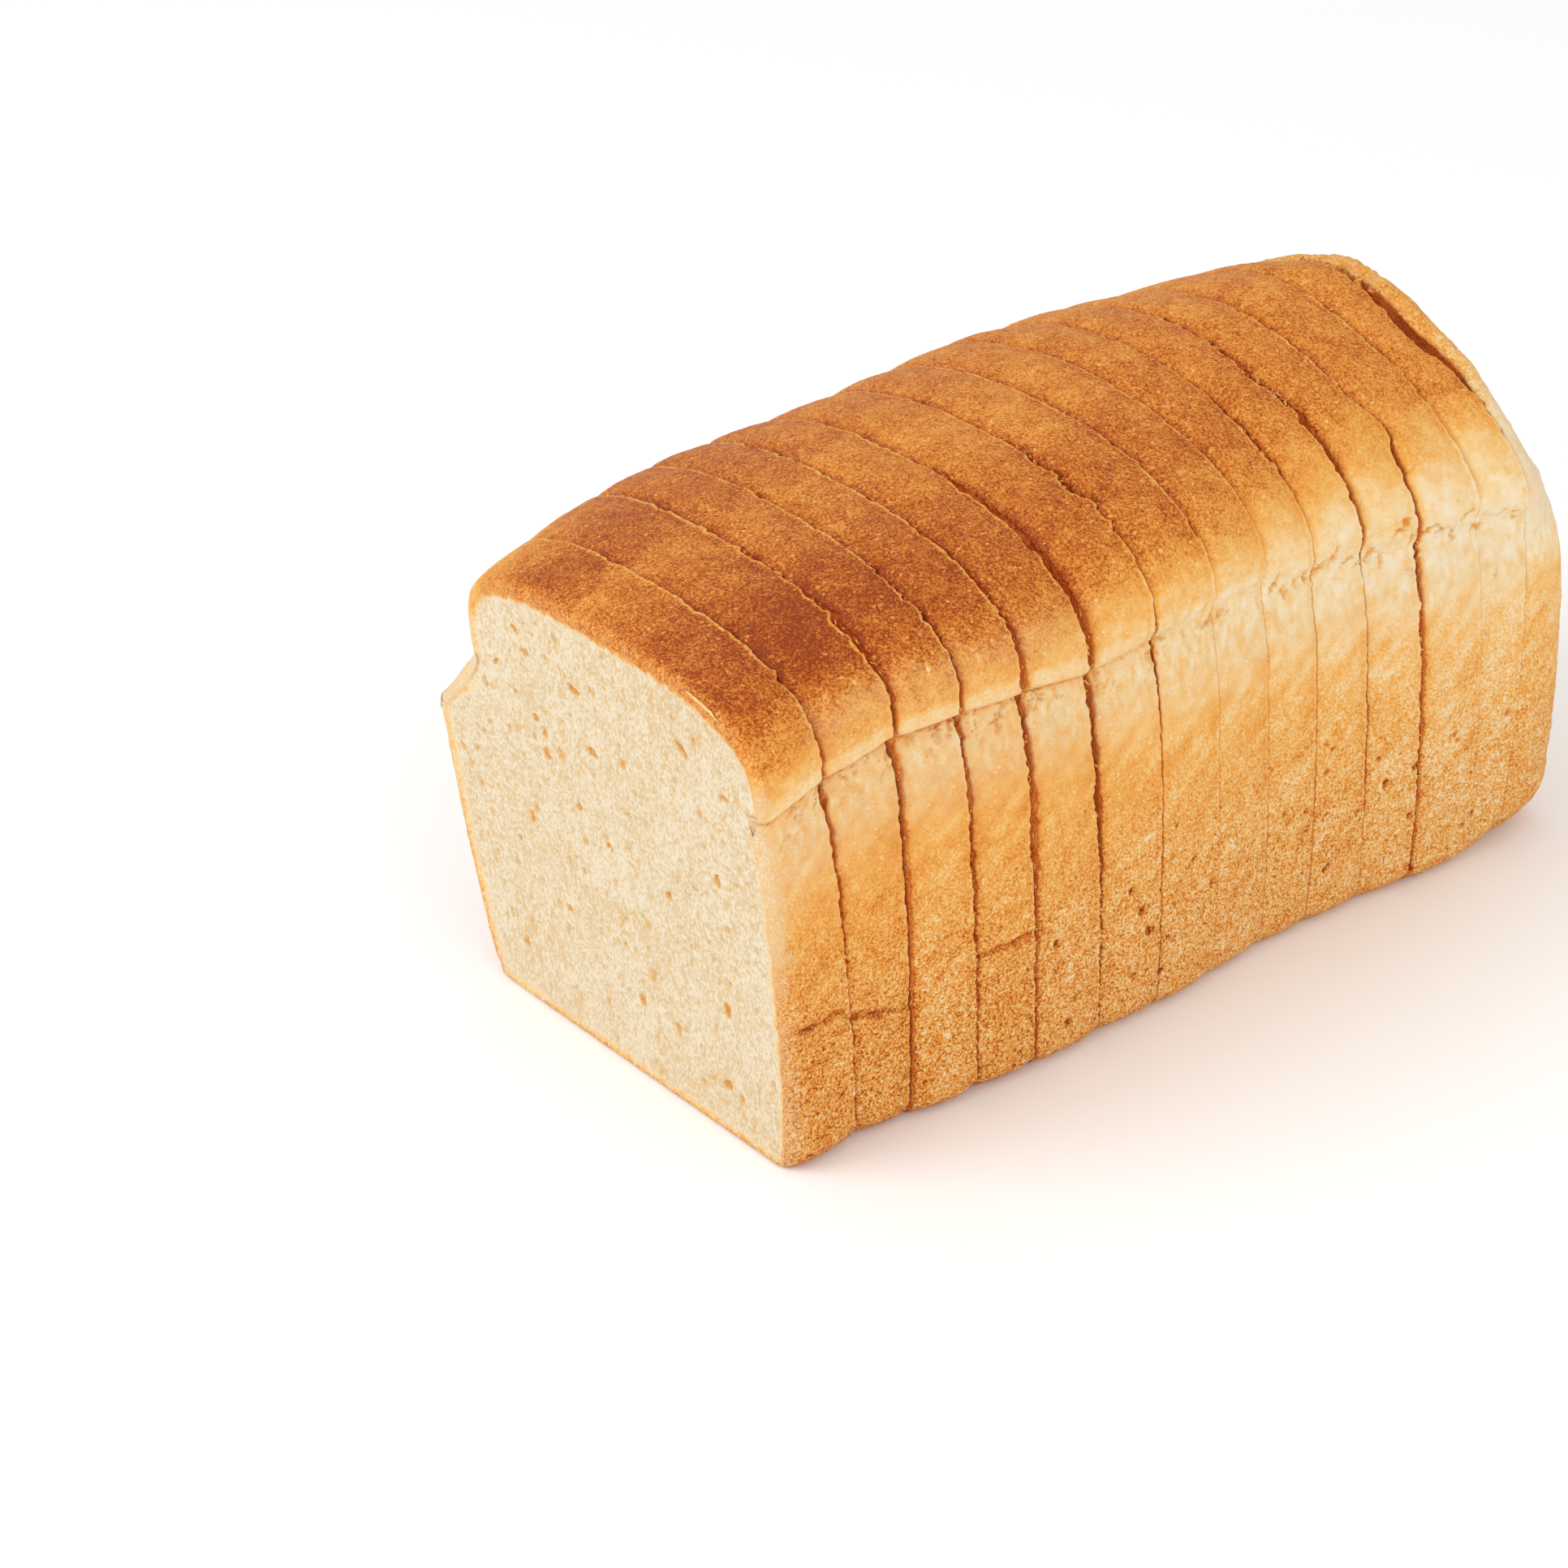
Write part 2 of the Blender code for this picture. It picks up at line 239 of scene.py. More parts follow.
DOME_BAKE = (
    (0.32, 0.49, 0.60, 0.79, 0.82, 0.80, 0.72, 0.62),
    (0.42, 0.47, 0.65, 0.88, 0.94, 0.86, 0.73, 0.66),
    (0.37, 0.50, 0.68, 0.78, 0.79, 0.76, 0.70, 0.62),
    (0.28, 0.37, 0.52, 0.67, 0.74, 0.71, 0.64, 0.58),
    (0.26, 0.35, 0.49, 0.64, 0.69, 0.69, 0.66, 0.60),
    (0.14, 0.17, 0.29, 0.45, 0.60, 0.66, 0.63, 0.61),
    (0.10, 0.14, 0.23, 0.35, 0.53, 0.58, 0.60, 0.58))


# where the dough tore open along the foot of the dome: place along the loaf, way up from the rim, half
# length, half width, tilt in degrees and depth
TORN_MARKS = (
    (83.5, -6.0, 1.9, 0.55, 75, 0.9), (85.4, -4.4, 1.3, 0.50, 20, 0.8), (96.6, -5.3, 1.8, 0.60, 25, 0.8),
    (99.3, -5.0, 1.4, 0.50, 40, 0.7), (101.4, -5.4, 1.2, 0.35, 55, 0.6), (113.9, -3.9, 1.6, 0.65, 60, 0.9),
    (115.8, -5.6, 1.4, 0.40, 100, 0.8), (118.9, -4.3, 1.2, 0.35, 60, 0.7), (121.1, -3.1, 1.3, 0.45, 70, 0.8),
    (124.0, -2.3, 1.7, 0.55, 45, 0.9), (127.6, -1.2, 1.7, 0.60, 60, 0.9), (131.0, -3.6, 1.6, 0.40, 10, 0.7),
    (133.3, -5.4, 1.1, 0.35, 30, 0.6), (136.3, -4.2, 1.6, 0.45, 65, 0.7), (138.6, -5.6, 1.5, 0.35, 100, 0.7),
    (141.2, -0.8, 1.3, 0.40, 70, 0.6), (143.3, 0.9, 1.5, 0.60, 35, 1.0), (145.6, -1.5, 1.5, 0.45, 80, 0.7),
    (148.2, -1.3, 2.2, 0.40, 5, 0.9), (151.8, -1.9, 1.9, 0.38, -25, 0.9), (155.2, -4.4, 1.3, 0.35, 100, 0.7),
    (158.0, -1.4, 1.7, 0.42, 35, 0.8), (161.4, -4.4, 1.5, 0.55, 10, 0.8), (165.5, -2.2, 1.3, 0.35, 30, 0.6),
    (168.8, -2.6, 1.4, 0.35, 20, 0.6), (164.8, -14.0, 0.7, 0.30, 60, 0.6), (145.1, -8.7, 1.0, 0.35, 100, 0.5),
    (9.6, -7.1, 0.9, 0.45, 60, 0.5), (15.8, -4.6, 1.2, 0.40, 70, 0.8), (19.6, -5.0, 1.1, 0.32, 95, 0.7),
    (24.0, -5.4, 0.9, 0.30, 60, 0.6), (28.4, -6.2, 1.2, 0.40, 80, 0.7), (37.6, -5.2, 1.6, 0.45, 80, 0.8),
    (40.2, -5.0, 1.2, 0.40, 30, 0.8), (50.5, -5.6, 1.3, 0.35, 85, 0.7), (58.4, -5.2, 1.0, 0.35, 70, 0.6),
    (71.5, -5.4, 1.5, 0.40, 75, 0.7))


def crust_finish(p, way, normal_x):
    """What the oven did to the crust at points p, in millimetres: how far it stands out or sinks in,
    how far it is baked and how grainy it is.

    The relief adds slow waves, fine grain where the tin pressed the dough, pits low on the sides,
    upright fibres where the dome tore away from the sides, and a crease low on the first slices. The
    bake is read from the two tables above and then clouded by three sizes of noise; along the crease
    and in the notch under the lip it is darkened as painted shadow."""
    x, y, z = p[:, 0], p[:, 1], p[:, 2]
    dome = smooth_step(-1.0, 1.0, way)
    side = 1.0 - dome
    under = smooth_step(2.0, 0.2, z)
    up_the_wall = z * WAIST_HEIGHT / np.maximum(z - way - LIP_RISE, 50.0)
    bake = side * spread(SIDE_BAKE, SIDE_PLACES, SIDE_HEIGHTS, y, np.where(side > 0.5, up_the_wall, z))
    bake += dome * spread(DOME_BAKE, DOME_PLACES, DOME_WAYS, y, np.maximum(way, 0))
    bake += 0.05 * under
    far = smooth_step(-8.0, -34.0, x) * dome
    bake -= far * (0.10 + 0.22 * smooth_step(45.0, 5.0, y))
    cloud = ripple(p / 9.0, 1)
    fleck = ripple(p / 3.1, 2)
    bake += (0.06 * dome + 0.035 * side) * cloud + (0.065 * dome + 0.05 * side) * fleck
    bake += 0.05 * dome * ripple(p / 1.3, 17)

    # soft streaks aslant on the sides, where the dough was rolled into the tin
    aslant = np.stack([(y - z) / 3.2, (y + z) / 15.0, x / 30.0], 1)
    streak = ripple(aslant, 3) * side * smooth_step(70, 60, z) * smooth_step(8, 25, z)
    bake += 0.11 * streak
    grain = side * np.interp(z, (0, 22, 45, 62), (1.35, 1.30, 0.70, 0.12)) * (1.0 - 0.15 * smooth_step(90, 150, y))
    grain += dome * (0.04 + 0.72 * smooth_step(0.18, 0.70, bake))

    relief = 0.30 * ripple(p / 22.0, 4) + 0.16 * ripple(p / 8.0, 5)
    crag = ripple(p / 2.0, 20) * side * smooth_step(50, 20, z)
    bake -= 0.10 * crag + 0.06 * ripple(p / 1.0, 29) * grain
    relief += 0.07 * streak + (0.11 * grain + 0.01) * ripple(p / 1.1, 6) + 0.04 * dome * ripple(p / 2.4, 18)
    relief += 0.16 * crag
    pit_room = side * smooth_step(50, 34, z) * smooth_step(45, 62, y) + 0.5 * side * smooth_step(34, 18, z)
    pit = holes(p / (6.0, 4.0, 4.4), 7, 0.75, 0.10, 0.27) * pit_room * (1 - 0.7 * under)
    relief -= 0.85 * pit
    bake += 0.46 * smooth_step(0.10, 0.7, pit)
    pock = holes(p / 2.3, 8, 0.55, 0.16, 0.34) * grain * side
    relief -= 0.16 * pock
    bake += 0.12 * pock
    blister = holes(p / (4.2, 3.2, 4.2), 19, 0.5, 0.06, 0.13) * dome
    relief += 0.07 * blister
    bake -= 0.22 * smooth_step(0.1, 0.6, blister)

    # the shred: pale, fibrous and torn, narrow under the crisp lip in front, wide along the back half
    torn = smooth_step(60, 88, y)
    band = np.exp(-(np.maximum(0, -2.5 - way) / (2.0 + 3.0 * torn)) ** 2)
    band *= np.exp(-(np.maximum(0, way + 1.0) / (1.2 + 3.5 * torn)) ** 2)
    fibre = ripple(np.stack([x / 6.0, y / 0.85, z / 4.5], 1), 9)
    relief += band * ((0.10 + 0.30 * torn) * fibre + 0.40 * torn * ripple(p / 1.7, 40))
    bake -= 0.06 * band * fibre
    wander_y = 1.1 * ripple(p / 1.5, 36) + 0.6 * ripple(p / 0.6, 49)
    wander_way = 1.0 * ripple(p / 1.3, 37) + 0.6 * ripple(p / 0.6, 50)
    tear = np.zeros(len(y))
    for mark_y, mark_way, length, width, tilt, depth in TORN_MARKS:
        near = np.abs(y - mark_y) < 6.0
        turned = np.exp(-1j * radians(tilt)) * ((y + wander_y - mark_y) + 1j * (way + wander_way - mark_way))[near]
        mark = (1.0 - (turned.real / (1.3 * length)) ** 2 - (turned.imag / (1.1 * width)) ** 2).clip(0)
        tear[near] = np.maximum(tear[near], depth * mark ** 0.6)
    relief -= 0.75 * tear
    bake += (0.50 - bake).clip(0) * smooth_step(0.10, 0.9, tear)
    split = np.abs(ripple(np.stack([x / 6.0, y / 1.5, z / 3.4], 1) + 0.35 * ripple(p / 1.1, 46)[:, None], 45))
    split = smooth_step(0.11, 0.02, split) * smooth_step(-0.15, 0.3, ripple(p / 3.3, 47)) * side
    split *= smooth_step(-11.0, -7.0, way) * smooth_step(-3.2, -4.6, way) * (1 - 0.6 * torn) * smooth_step(150, 110, y)
    relief -= 0.40 * split
    bake += 0.34 * split
    # painted shadow: a thin dark line in the notch under the crisp lip
    shade_under_lip = np.exp(-((way + 4.2) / 0.55) ** 2) * (1 - torn) * side
    bake += 0.26 * shade_under_lip * (0.8 + 1.2 * fibre).clip(0)
    bright = smooth_step(-4.3, -3.6, way) * smooth_step(-1.2, -2.8, way + 0.5 * fibre) * (1 - torn)
    bake += (np.minimum(bake, 0.20) - bake) * 0.8 * bright
    flour = np.exp(-((way + 9.0) / 6.0) ** 2) * side
    bake += flour * (0.20 * ripple(np.stack([x / 6.0, y / 1.3, z / 2.6], 1), 14) - 0.03)
    relief += 0.12 * flour * ripple(np.stack([x / 6.0, y / 1.3, z / 2.2], 1), 15)

    # long pale scuffs low on the dome of the first slices
    scuff_place = np.stack([x / 7.0, y / 1.9, z / 4.5], 1) + 0.2 * ripple(p / 2.0, 38)[:, None]
    scuff = holes(scuff_place, 39, 0.55, 0.12, 0.28) * dome * np.exp(-((way - 9.0) / 6.0) ** 2) * smooth_step(58, 40, y)
    relief += 0.10 * scuff
    bake -= 0.34 * smooth_step(0.1, 0.6, scuff)

    # the crease where the dough folded, a fifth of the way up the first three slices
    fold = z - np.interp(y, (0, 14, 15, 29, 43, 56), (30.6, 30.2, 28.4, 25.0, 30.4, 30.6))
    fold -= 0.9 * ripple(p / 9.0, 12) + 0.6 * ripple(p / 2.2, 16)
    fold_room = side * smooth_step(57, 54, y) * (1 - 0.9 * smooth_step(28, 31, y) * smooth_step(44, 41, y))
    crease = np.exp(-(fold / 0.50) ** 2) * fold_room * (0.85 + 0.8 * ripple(p / 3.0, 13)).clip(0)
    relief += fold_room * (0.35 * smooth_step(0.6, 0.0, fold) * np.exp(-(fold / 6.0) ** 2) - 1.0 * crease)
    # darker along the crease and a little below it: painted shadow of the fold
    bake += 0.42 * crease + 0.05 * smooth_step(0.5, -1.0, fold) * fold_room
    return relief, bake, grain


# the crumb behind the crust: big holes of the open face as (across, up, half width, half height,
# tilt in degrees, depth) in millimetres
FACE_HOLES = (
    (-2.6, 77.8, 2.1, 0.9, -15, 1.7), (0.8, 66.5, 1.9, 1.1, -20, 1.9), (31.0, 78.4, 2.1, 0.8, -32, 1.4),
    (-6.5, 52.7, 1.0, 0.8, -30, 1.3), (-17.9, 79.7, 2.1, 0.6, 12, 1.4), (-33.8, 68.3, 0.7, 1.6, 10, 1.2),
    (-28.8, 74.2, 1.2, 0.7, 40, 1.3), (-20.0, 83.5, 1.7, 0.5, -5, 0.9), (42.6, 73.4, 1.9, 0.5, 8, 0.9),
    (2.2, 47.8, 1.3, 0.6, -35, 1.0), (36.5, 55.0, 0.9, 1.1, -12, 1.2), (20.0, 45.5, 1.1, 0.8, 25, 1.1),
    (-15.0, 60.5, 1.3, 1.5, 0, 0.8), (-17.0, 67.0, 1.2, 0.9, 12, 0.7), (-16.0, 27.5, 1.1, 0.9, 0, 1.0),
    (34.2, 28.0, 1.2, 1.8, -12, 1.3), (31.0, 11.0, 1.5, 1.3, 25, 1.4), (5.5, 17.5, 1.2, 1.0, 20, 1.0),
    (-34.0, 12.5, 1.1, 1.0, -25, 1.0), (11.0, 68.0, 0.7, 1.2, 0, 0.8), (-24.0, 44.0, 0.8, 1.3, 10, 0.8))


def crumb_finish(x, z, inset, seed, big_holes):
    """The open crumb at points of a cut face: how deep it sinks and how light it is.

    Three sizes of bubbles, taller than wide low in the slice, are pushed in and the thin walls
    between them left standing; the bubbles and the low spots of the fine roughness are coloured
    darker, painted shade in them. Just under the crust the crumb is dense, so the bubbles fade there."""
    flat = np.stack([x, z, np.full_like(x, 0.37 * seed)], -1)
    sway = np.stack([ripple(flat / 2.2, seed), ripple(flat / 2.2, seed + 1)], -1) * 0.55
    tall = np.interp(z, (15, 60), (1.75, 1.15))
    at = np.stack([x, z / tall], -1) + sway
    dense = smooth_step(0.8, 4.2, inset)
    large = holes(at / 5.2, seed + 2, 0.22, 0.10, 0.26) * dense
    middling = holes(at / 2.6, seed + 3, 0.45, 0.16, 0.40) * dense
    small = holes(at / 1.35, seed + 4, 0.75, 0.25, 0.50) * (0.35 + 0.65 * dense)
    depth = 0.36 * large ** 0.8 + 0.16 * middling + 0.10 * small
    # the bubbles and the big holes are coloured darker toward their bottoms: painted shade
    tone = 0.91 - 0.55 * large - 0.26 * middling - 0.15 * small
    for hole_x, hole_z, wide, high, tilt, deep in big_holes:
        turned = np.exp(-1j * radians(tilt)) * ((x + sway[..., 0] - hole_x) + 1j * (z + sway[..., 1] - hole_z))
        bowl = (1.0 - (turned.real / wide) ** 2 - (turned.imag / high) ** 2).clip(0)
        depth = np.maximum(depth, 0.42 * deep * bowl ** 0.7)
        tone = np.minimum(tone, 1.0 - 0.90 * smooth_step(0.0, 0.5, bowl))
    roughness = ripple(flat / 0.9, seed + 5)
    slow = ripple(flat / 14.0, seed + 6)
    fluff = ripple(flat / (1.9, 2.6, 1.0), seed + 7)
    depth += 0.12 - 0.10 * roughness - 0.06 * fluff + 0.18 * (slow + 0.6)
    return depth, (tone + 0.14 * roughness + 0.09 * fluff + 0.08 * slow).clip(0, 1)


# rows of points from one cut edge of the crust to the other, thick at the edges, and nominal width
EDGE_ROWS = np.array([0.0, 0.12, 0.30, 0.55, 0.9, 1.35, 1.9])
ROW_SPAN = 13.0
ROWS = np.concatenate([EDGE_ROWS, np.linspace(2.4, ROW_SPAN - 2.4, 17), ROW_SPAN - EDGE_ROWS[::-1]]) / ROW_SPAN
BELLY = 0.45
# where the blade wandered on the near side of the dome: cut, way up, half length and reach
BENDS = ((11, 20.0, 5.0, 2.4), (13, 41.0, 10.0, -1.9))


def teeth(place, start, flat):
    """Steps between random heights, one to each whole number of the place along the cut, their ends
    shifted by noise and sloped over a fifth of a step: the broken edge that the saw leaves."""
    notch = place + start + 0.8 * ripple(flat / 4.0, 27)
    step = np.floor(notch).astype(np.int64)
    before, after = (scramble(np.stack([step + k, 0 * step], 1), 28) / 4294967296.0 for k in (0, 1))
    return before + (after - before) * smooth_step(0.82, 1.0, notch - step)


def cut_line(cut, side, ring, way):
    """Where the crust ends at a cut, for each point of its outline, and how open the cut is there.

    It is the cut's own plane, leaning and turned, plus half its gap toward this slice, plus the slow
    sway of the blade and the ragged edge it left. Closed cuts still crack open here and there on the
    dome, and at the eleventh a tongue of crust was dragged over the next slice."""
    x, z = ring[:, 0], ring[:, 1]
    plane = CUT_AT[cut] + tan(radians(CUT_LEAN[cut])) * (z - 50.0) + tan(radians(CUT_TURN[cut])) * x
    if cut == 0:
        gap = np.zeros(AROUND)
    else:
        row = CUT_GAPS[cut - 1]
        gap = np.interp(np.arange(AROUND), GAP_PLACES, row + row[:1])
    flat = np.stack([x, z, np.full(AROUND, 5.3 * cut)], 1)
    opened = smooth_step(0.12, 0.5, gap)
    sway = (0.10 + 0.20 * opened) * ripple(flat / 6.5, 21) + (0.10 + 0.16 * opened) * ripple(flat / 1.9, 22)
    for bent_cut, bend_way, half_length, bend_reach in BENDS:
        if bent_cut == cut:
            sway += bend_reach * np.exp(-((way - bend_way) / half_length) ** 2) * (x > 0)
    crack = 0.40 * smooth_step(0.15, 0.45, ripple(flat / 3.6, 25)) * (1 - opened) * smooth_step(6, 18, way)
    uneven = np.where(way < -4, 0.95 * ripple(flat / 3.0, 26), 0.45 * ripple(flat / 5.0, 26))
    gap = 0.80 * gap * (1.0 + opened * uneven).clip(0.1) + crack
    sway += (0.10 + 0.38 * smooth_step(0, 10, way) * CHIPPING[cut]) * (teeth(way / 2.9, 7.3 * cut, flat) - 0.5)
    for chip_cut, chip_way, half_length, chip_reach in CHIPS:
        if chip_cut == cut:
            slant = (way - chip_way) / half_length
            sway += chip_reach * smooth_step(1.0, 0.55, np.abs(slant)) * (0.75 + 0.25 * slant.clip(-1, 1)) * (x > 0)
    sway += np.where(way < -4, 0.26, 0.14) * ripple(flat / 0.9, 30) * (cut > 0)
    flat[:, 2] += 1.7 * side
    tooth = teeth(way / 3.7, 7.3 * cut + 31.7 * side, flat)
    ragged = (0.17 * opened + 0.3 * crack) * (1.0 + ripple(flat / 1.2, 23))
    ragged += (0.20 * opened + 0.3 * crack) * ripple(flat / 0.6, 24).clip(0)
    ragged += 0.42 * opened * tooth ** 2 * (cut > 0)
    return plane + sway + side * (0.5 * gap + ragged), opened + (1 - opened) * smooth_step(0.0, 0.2, crack)


def edge_wear(distance, radius):
    """How far a worn edge is rounded off at a distance from it: a quarter circle."""
    t = (1.0 - distance / radius).clip(0, 1)
    return radius * (1.0 - np.sqrt(1.0 - t * t))


def outward(ring):
    """The direction straight out of an outline at each point: its own direction turned a quarter."""
    along = np.roll(ring, -2, axis=-2) - np.roll(ring, 2, axis=-2)
    across = np.stack([along[..., 1], -along[..., 0]], -1)
    return across / np.linalg.norm(across, axis=-1, keepdims=True)


def perimeter(i, j, steps):
    """The place round the outline, in steps of it, that a point of a square grid looks out to, and
    how far out it is: 0 at the middle and 1 at the edge. The grid's lower edge meets the base, its
    right edge the near side, its upper edge the crown."""
    half = steps / 2.0
    across, up = i / half - 1.0, j / half - 1.0
    out = np.maximum(np.abs(across), np.abs(up))
    safe = np.maximum(out, 1e-9)
    low = across / safe * half
    right = half + (up / safe + 1.0) * half
    top = 3.0 * half + (1.0 - across / safe) * half
    left = 5.0 * half + (1.0 - up / safe) * half
    place = np.where(np.abs(up) >= np.abs(across), np.where(up < 0, low, top), np.where(across > 0, right, left))
    return place % (4.0 * steps), out


class Piece:
    """The parts of one mesh as they are worked out: points in millimetres, faces, the flat layout of
    the faces, and for every point how baked it is, how light its crumb, how crusty and how grainy."""

    def __init__(self):
        self.points, self.values, self.faces, self.layout, self.finish = [], [], [], [], []
        self.count = 0

    def add_points(self, points, bake, tone, toast, grain):
        first = self.count
        blank = np.zeros(len(points))
        self.points.append(points)
        self.values.append(np.stack([bake + blank, tone + blank, toast + blank, grain + blank], 1))
        self.count += len(points)
        return first

    def add_faces(self, corners, layout, finish):
        self.faces.append(corners)
        self.layout.append(layout)
        self.finish.append(np.full(len(corners), finish))

    def make(self, name, materials):
        """Puts all the arrays into a mesh object that stands at the origin."""
        points = (np.concatenate(self.points) - (LOAF_MIDDLE_X, LOAF_MIDDLE_Y, 0.0)) * MM
        corners = np.concatenate([f.ravel() for f in self.faces])
        sizes = np.concatenate([np.full(len(f), f.shape[1]) for f in self.faces])
        starts = np.concatenate([[0], np.cumsum(sizes)[:-1]])
        mesh = bpy.data.meshes.new(name)
        mesh.vertices.add(len(points))
        mesh.vertices.foreach_set("co", points.ravel())
        mesh.loops.add(len(corners))
        mesh.loops.foreach_set("vertex_index", corners.astype(np.int32))
        mesh.polygons.add(len(sizes))
        mesh.polygons.foreach_set("loop_start", starts.astype(np.int32))
        mesh.polygons.foreach_set("material_index", np.concatenate(self.finish).astype(np.int32))
        mesh.polygons.foreach_set("use_smooth", np.ones(len(sizes), bool))
        flat = mesh.uv_layers.new(name="OFBake")
        flat.data.foreach_set("uv", np.concatenate([u.reshape(-1, 2) for u in self.layout]).ravel())
        values = np.concatenate(self.values)
        for k, label in enumerate(("bake", "tone", "toast", "grain")):
            mesh.attributes.new(label, "FLOAT", "POINT").data.foreach_set("value", values[:, k])
        mesh.update(calc_edges=True)
        mesh.validate()
        for material in materials:
            mesh.materials.append(material)
        piece = bpy.data.objects.new(name, mesh)
        bpy.context.scene.collection.objects.link(piece)
        return piece


LAYOUT_SPAN = 232.0          # millimetres of bread that the unit square of the flat layout holds


def add_band(piece, rows, first, base, finish):
    """The faces between rows of points round the loaf, each row joined to the next and closed on
    itself. The flat layout lays the near half and the far half of the band as two strips."""
    k = np.arange(AROUND)
    j = np.arange(rows - 1)[:, None]
    next_k = (k + 1) % AROUND
    a, b = first + j * AROUND + k, first + (j + 1) * AROUND + k
    c, d = first + (j + 1) * AROUND + next_k, first + j * AROUND + next_k
    corners = np.stack([a, b, c, d], -1).reshape(-1, 4)
    strip = k // HALF_ROUND
    u0, u1 = (k % HALF_ROUND) / HALF_ROUND * 220.0 + 2.0, (k % HALF_ROUND + 1) / HALF_ROUND * 220.0 + 2.0
    u0, u1 = np.broadcast_arrays(u0, u1)
    v0 = base + strip * 20.0 + j / (rows - 1) * 18.0
    v1 = base + strip * 20.0 + (j + 1) / (rows - 1) * 18.0
    u0, u1 = u0 + 0 * v0, u1 + 0 * v0
    layout = np.stack([np.stack([u0, v0], -1), np.stack([u0, v1], -1), np.stack([u1, v1], -1),
                       np.stack([u1, v0], -1)], -2).reshape(-1, 4, 2) / LAYOUT_SPAN
    piece.add_faces(corners, layout, finish)


def flat_layout(piece_points, corners, far):
    """The flat layout of a cut face: its own width and height, beside the other face's."""
    at = piece_points[corners][..., (0, 2)] + (57.0 + (112.0 if far else 0.0), 2.0)
    return at / LAYOUT_SPAN


def read_round(values, at):
    """Values given at each step round the outline, read between the steps by straight lines."""
    return np.interp(at, np.arange(AROUND + 1), np.append(values, values[0]))


def fit_inside(ring, at, out, plane):
    """Points of a cut face: from its place on the outline each moves straight in toward the middle.
    Away from the edge the outline is first smoothed by a wide bell curve, so that no line crosses the
    notch under the lip. The blade's sway fades in from the edge."""
    bell = np.exp(-0.5 * (np.arange(-48, 49) / 16.0) ** 2)
    bell /= bell.sum()
    soft = np.stack([np.convolve(np.concatenate([ring[-48:, a], ring[:, a], ring[:48, a]]), bell, "valid")
                     for a in range(3)], 1)
    sharp = ((out - 0.95) / 0.05).clip(0, 1) ** 1.5
    edge_x, edge_y, edge_z = (read_round(soft[:, a], at) * (1 - sharp) + read_round(ring[:, a], at) * sharp
                              for a in range(3))
    middle_x, middle_z = ring[:, 0].mean(), 52.0
    x, z = middle_x + (edge_x - middle_x) * out, middle_z + (edge_z - middle_z) * out
    sway = edge_y - plane(edge_x, edge_z)
    sway *= out ** (130.0 / (1.0 + 2.0 * np.abs(sway) + 5.0 * sway ** 2))
    nearest = np.hypot(read_round(ring[:, 0], at) - x, read_round(ring[:, 2], at) - z)
    return x, plane(x, z) + sway, z, nearest


